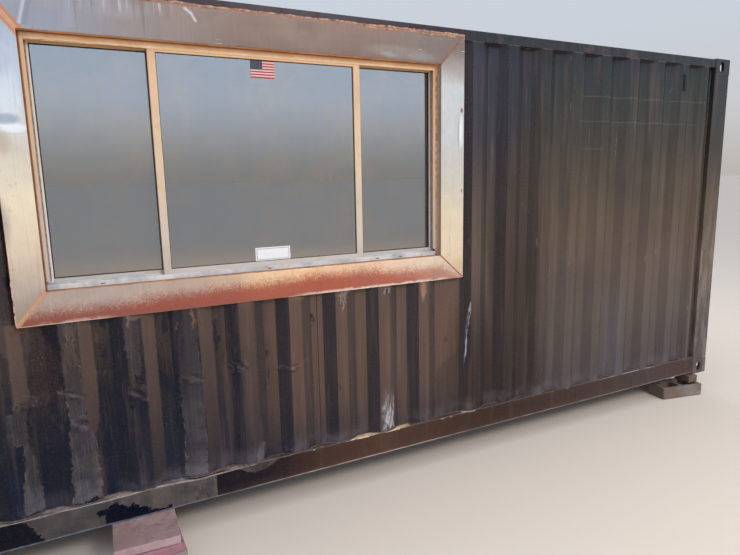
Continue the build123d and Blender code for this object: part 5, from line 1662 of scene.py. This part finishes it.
# brighter on the side that the windows face
m1 = wn.nodes.new("ShaderNodeMapRange")
m1.interpolation_type = "SMOOTHSTEP"
wn.links.new(sp.outputs[1], m1.inputs["Value"])
m1.inputs["From Min"].default_value = 0.25
m1.inputs["From Max"].default_value = -0.75
m1.inputs["To Min"].default_value = 0.98
m1.inputs["To Max"].default_value = 1.65
m2 = wn.nodes.new("ShaderNodeMapRange")
m2.interpolation_type = "SMOOTHSTEP"
wn.links.new(sp.outputs[2], m2.inputs["Value"])
m2.inputs["From Min"].default_value = 0.0
m2.inputs["From Max"].default_value = 0.14
m2.inputs["To Min"].default_value = 1.0
wn.links.new(m1.outputs[0], m2.inputs["To Max"])
# cooler overhead on that side, so the panes carry a soft sky-to-floor gradient
mr2 = wn.nodes.new("ShaderNodeMapRange")
mr2.inputs["From Min"].default_value = 0.0
mr2.inputs["From Max"].default_value = 1.0
wn.links.new(sp.outputs[2], mr2.inputs["Value"])
rp2 = wn.nodes.new("ShaderNodeValToRGB")
wn.links.new(mr2.outputs[0], rp2.inputs[0])
c2 = rp2.color_ramp
c2.elements[0].position, c2.elements[0].color = 0.0, (0.58, 0.53, 0.48, 1)
c2.elements[1].position, c2.elements[1].color = 1.0, (0.64, 0.69, 0.78, 1)
for pos, c in ((0.04, (0.60, 0.58, 0.57, 1)), (0.12, (0.60, 0.64, 0.72, 1)),
               (0.26, (0.54, 0.64, 0.80, 1)), (0.50, (0.50, 0.60, 0.80, 1))):
    c2.elements.new(pos).color = c
fm_ = wn.nodes.new("ShaderNodeMapRange")
fm_.interpolation_type = "SMOOTHSTEP"
wn.links.new(sp.outputs[1], fm_.inputs["Value"])
fm_.inputs["From Min"].default_value = 0.10
fm_.inputs["From Max"].default_value = -0.60
mxw = wn.nodes.new("ShaderNodeMix")
mxw.data_type = "RGBA"
wn.links.new(fm_.outputs[0], mxw.inputs[0])
wn.links.new(rp.outputs[0], mxw.inputs[6])
wn.links.new(rp2.outputs[0], mxw.inputs[7])
wn.links.new(mxw.outputs[2], bg.inputs[0])
wn.links.new(m2.outputs[0], bg.inputs[1])
wn.links.new(bg.outputs[0], wo.inputs[0])


def area(name, loc, target, size, energy, colour=(1, 1, 1)):
    d = bpy.data.lights.new(name, "AREA")
    d.shape, d.size, d.size_y = "RECTANGLE", size[0], size[1]
    d.energy, d.color = energy, colour
    o = bpy.data.objects.new(name, d)
    COLL.objects.link(o)
    o.location = loc
    o.rotation_euler = (Vector(target) - Vector(loc)).to_track_quat("-Z", "Y").to_euler()
    return o


area("key", (2.4, -8.5, 6.5), (0.4, -1.2, 1.2), (3.0, 2.2), 400, (1.0, 0.95, 0.89))
area("top", (1.0, 1.5, 9.0), (0.0, 0.0, 0.0), (7.0, 7.0), 260, (0.94, 0.97, 1.0))

cam_d = bpy.data.cameras.new("camera")
cam = bpy.data.objects.new("camera", cam_d)
COLL.objects.link(cam)
cam_d.sensor_width = 36.0
cam_d.lens = 36.0 * 580.07 / 740.0
cam_d.clip_start, cam_d.clip_end = 0.05, 200.0
yaw, pitch, roll = (math.radians(v) for v in (27.059, -9.815, -1.103))
fwd = Vector((math.sin(yaw) * math.cos(pitch), math.cos(yaw) * math.cos(pitch), math.sin(pitch)))
right = Vector((math.cos(yaw), -math.sin(yaw), 0.0))
up = right.cross(fwd)
r = right * math.cos(roll) + up * math.sin(roll)
u = -right * math.sin(roll) + up * math.cos(roll)
m = cam.matrix_world.copy()
for i in range(3):
    m[i][0], m[i][1], m[i][2] = r[i], u[i], -fwd[i]
    m[i][3] = (-1.7739, -4.2149, 1.8849)[i]
cam.matrix_world = m
bpy.context.scene.camera = cam
bpy.context.scene.view_settings.view_transform = "Standard"
bpy.context.scene.view_settings.look = "None"
bpy.context.scene.view_settings.exposure = 0.0
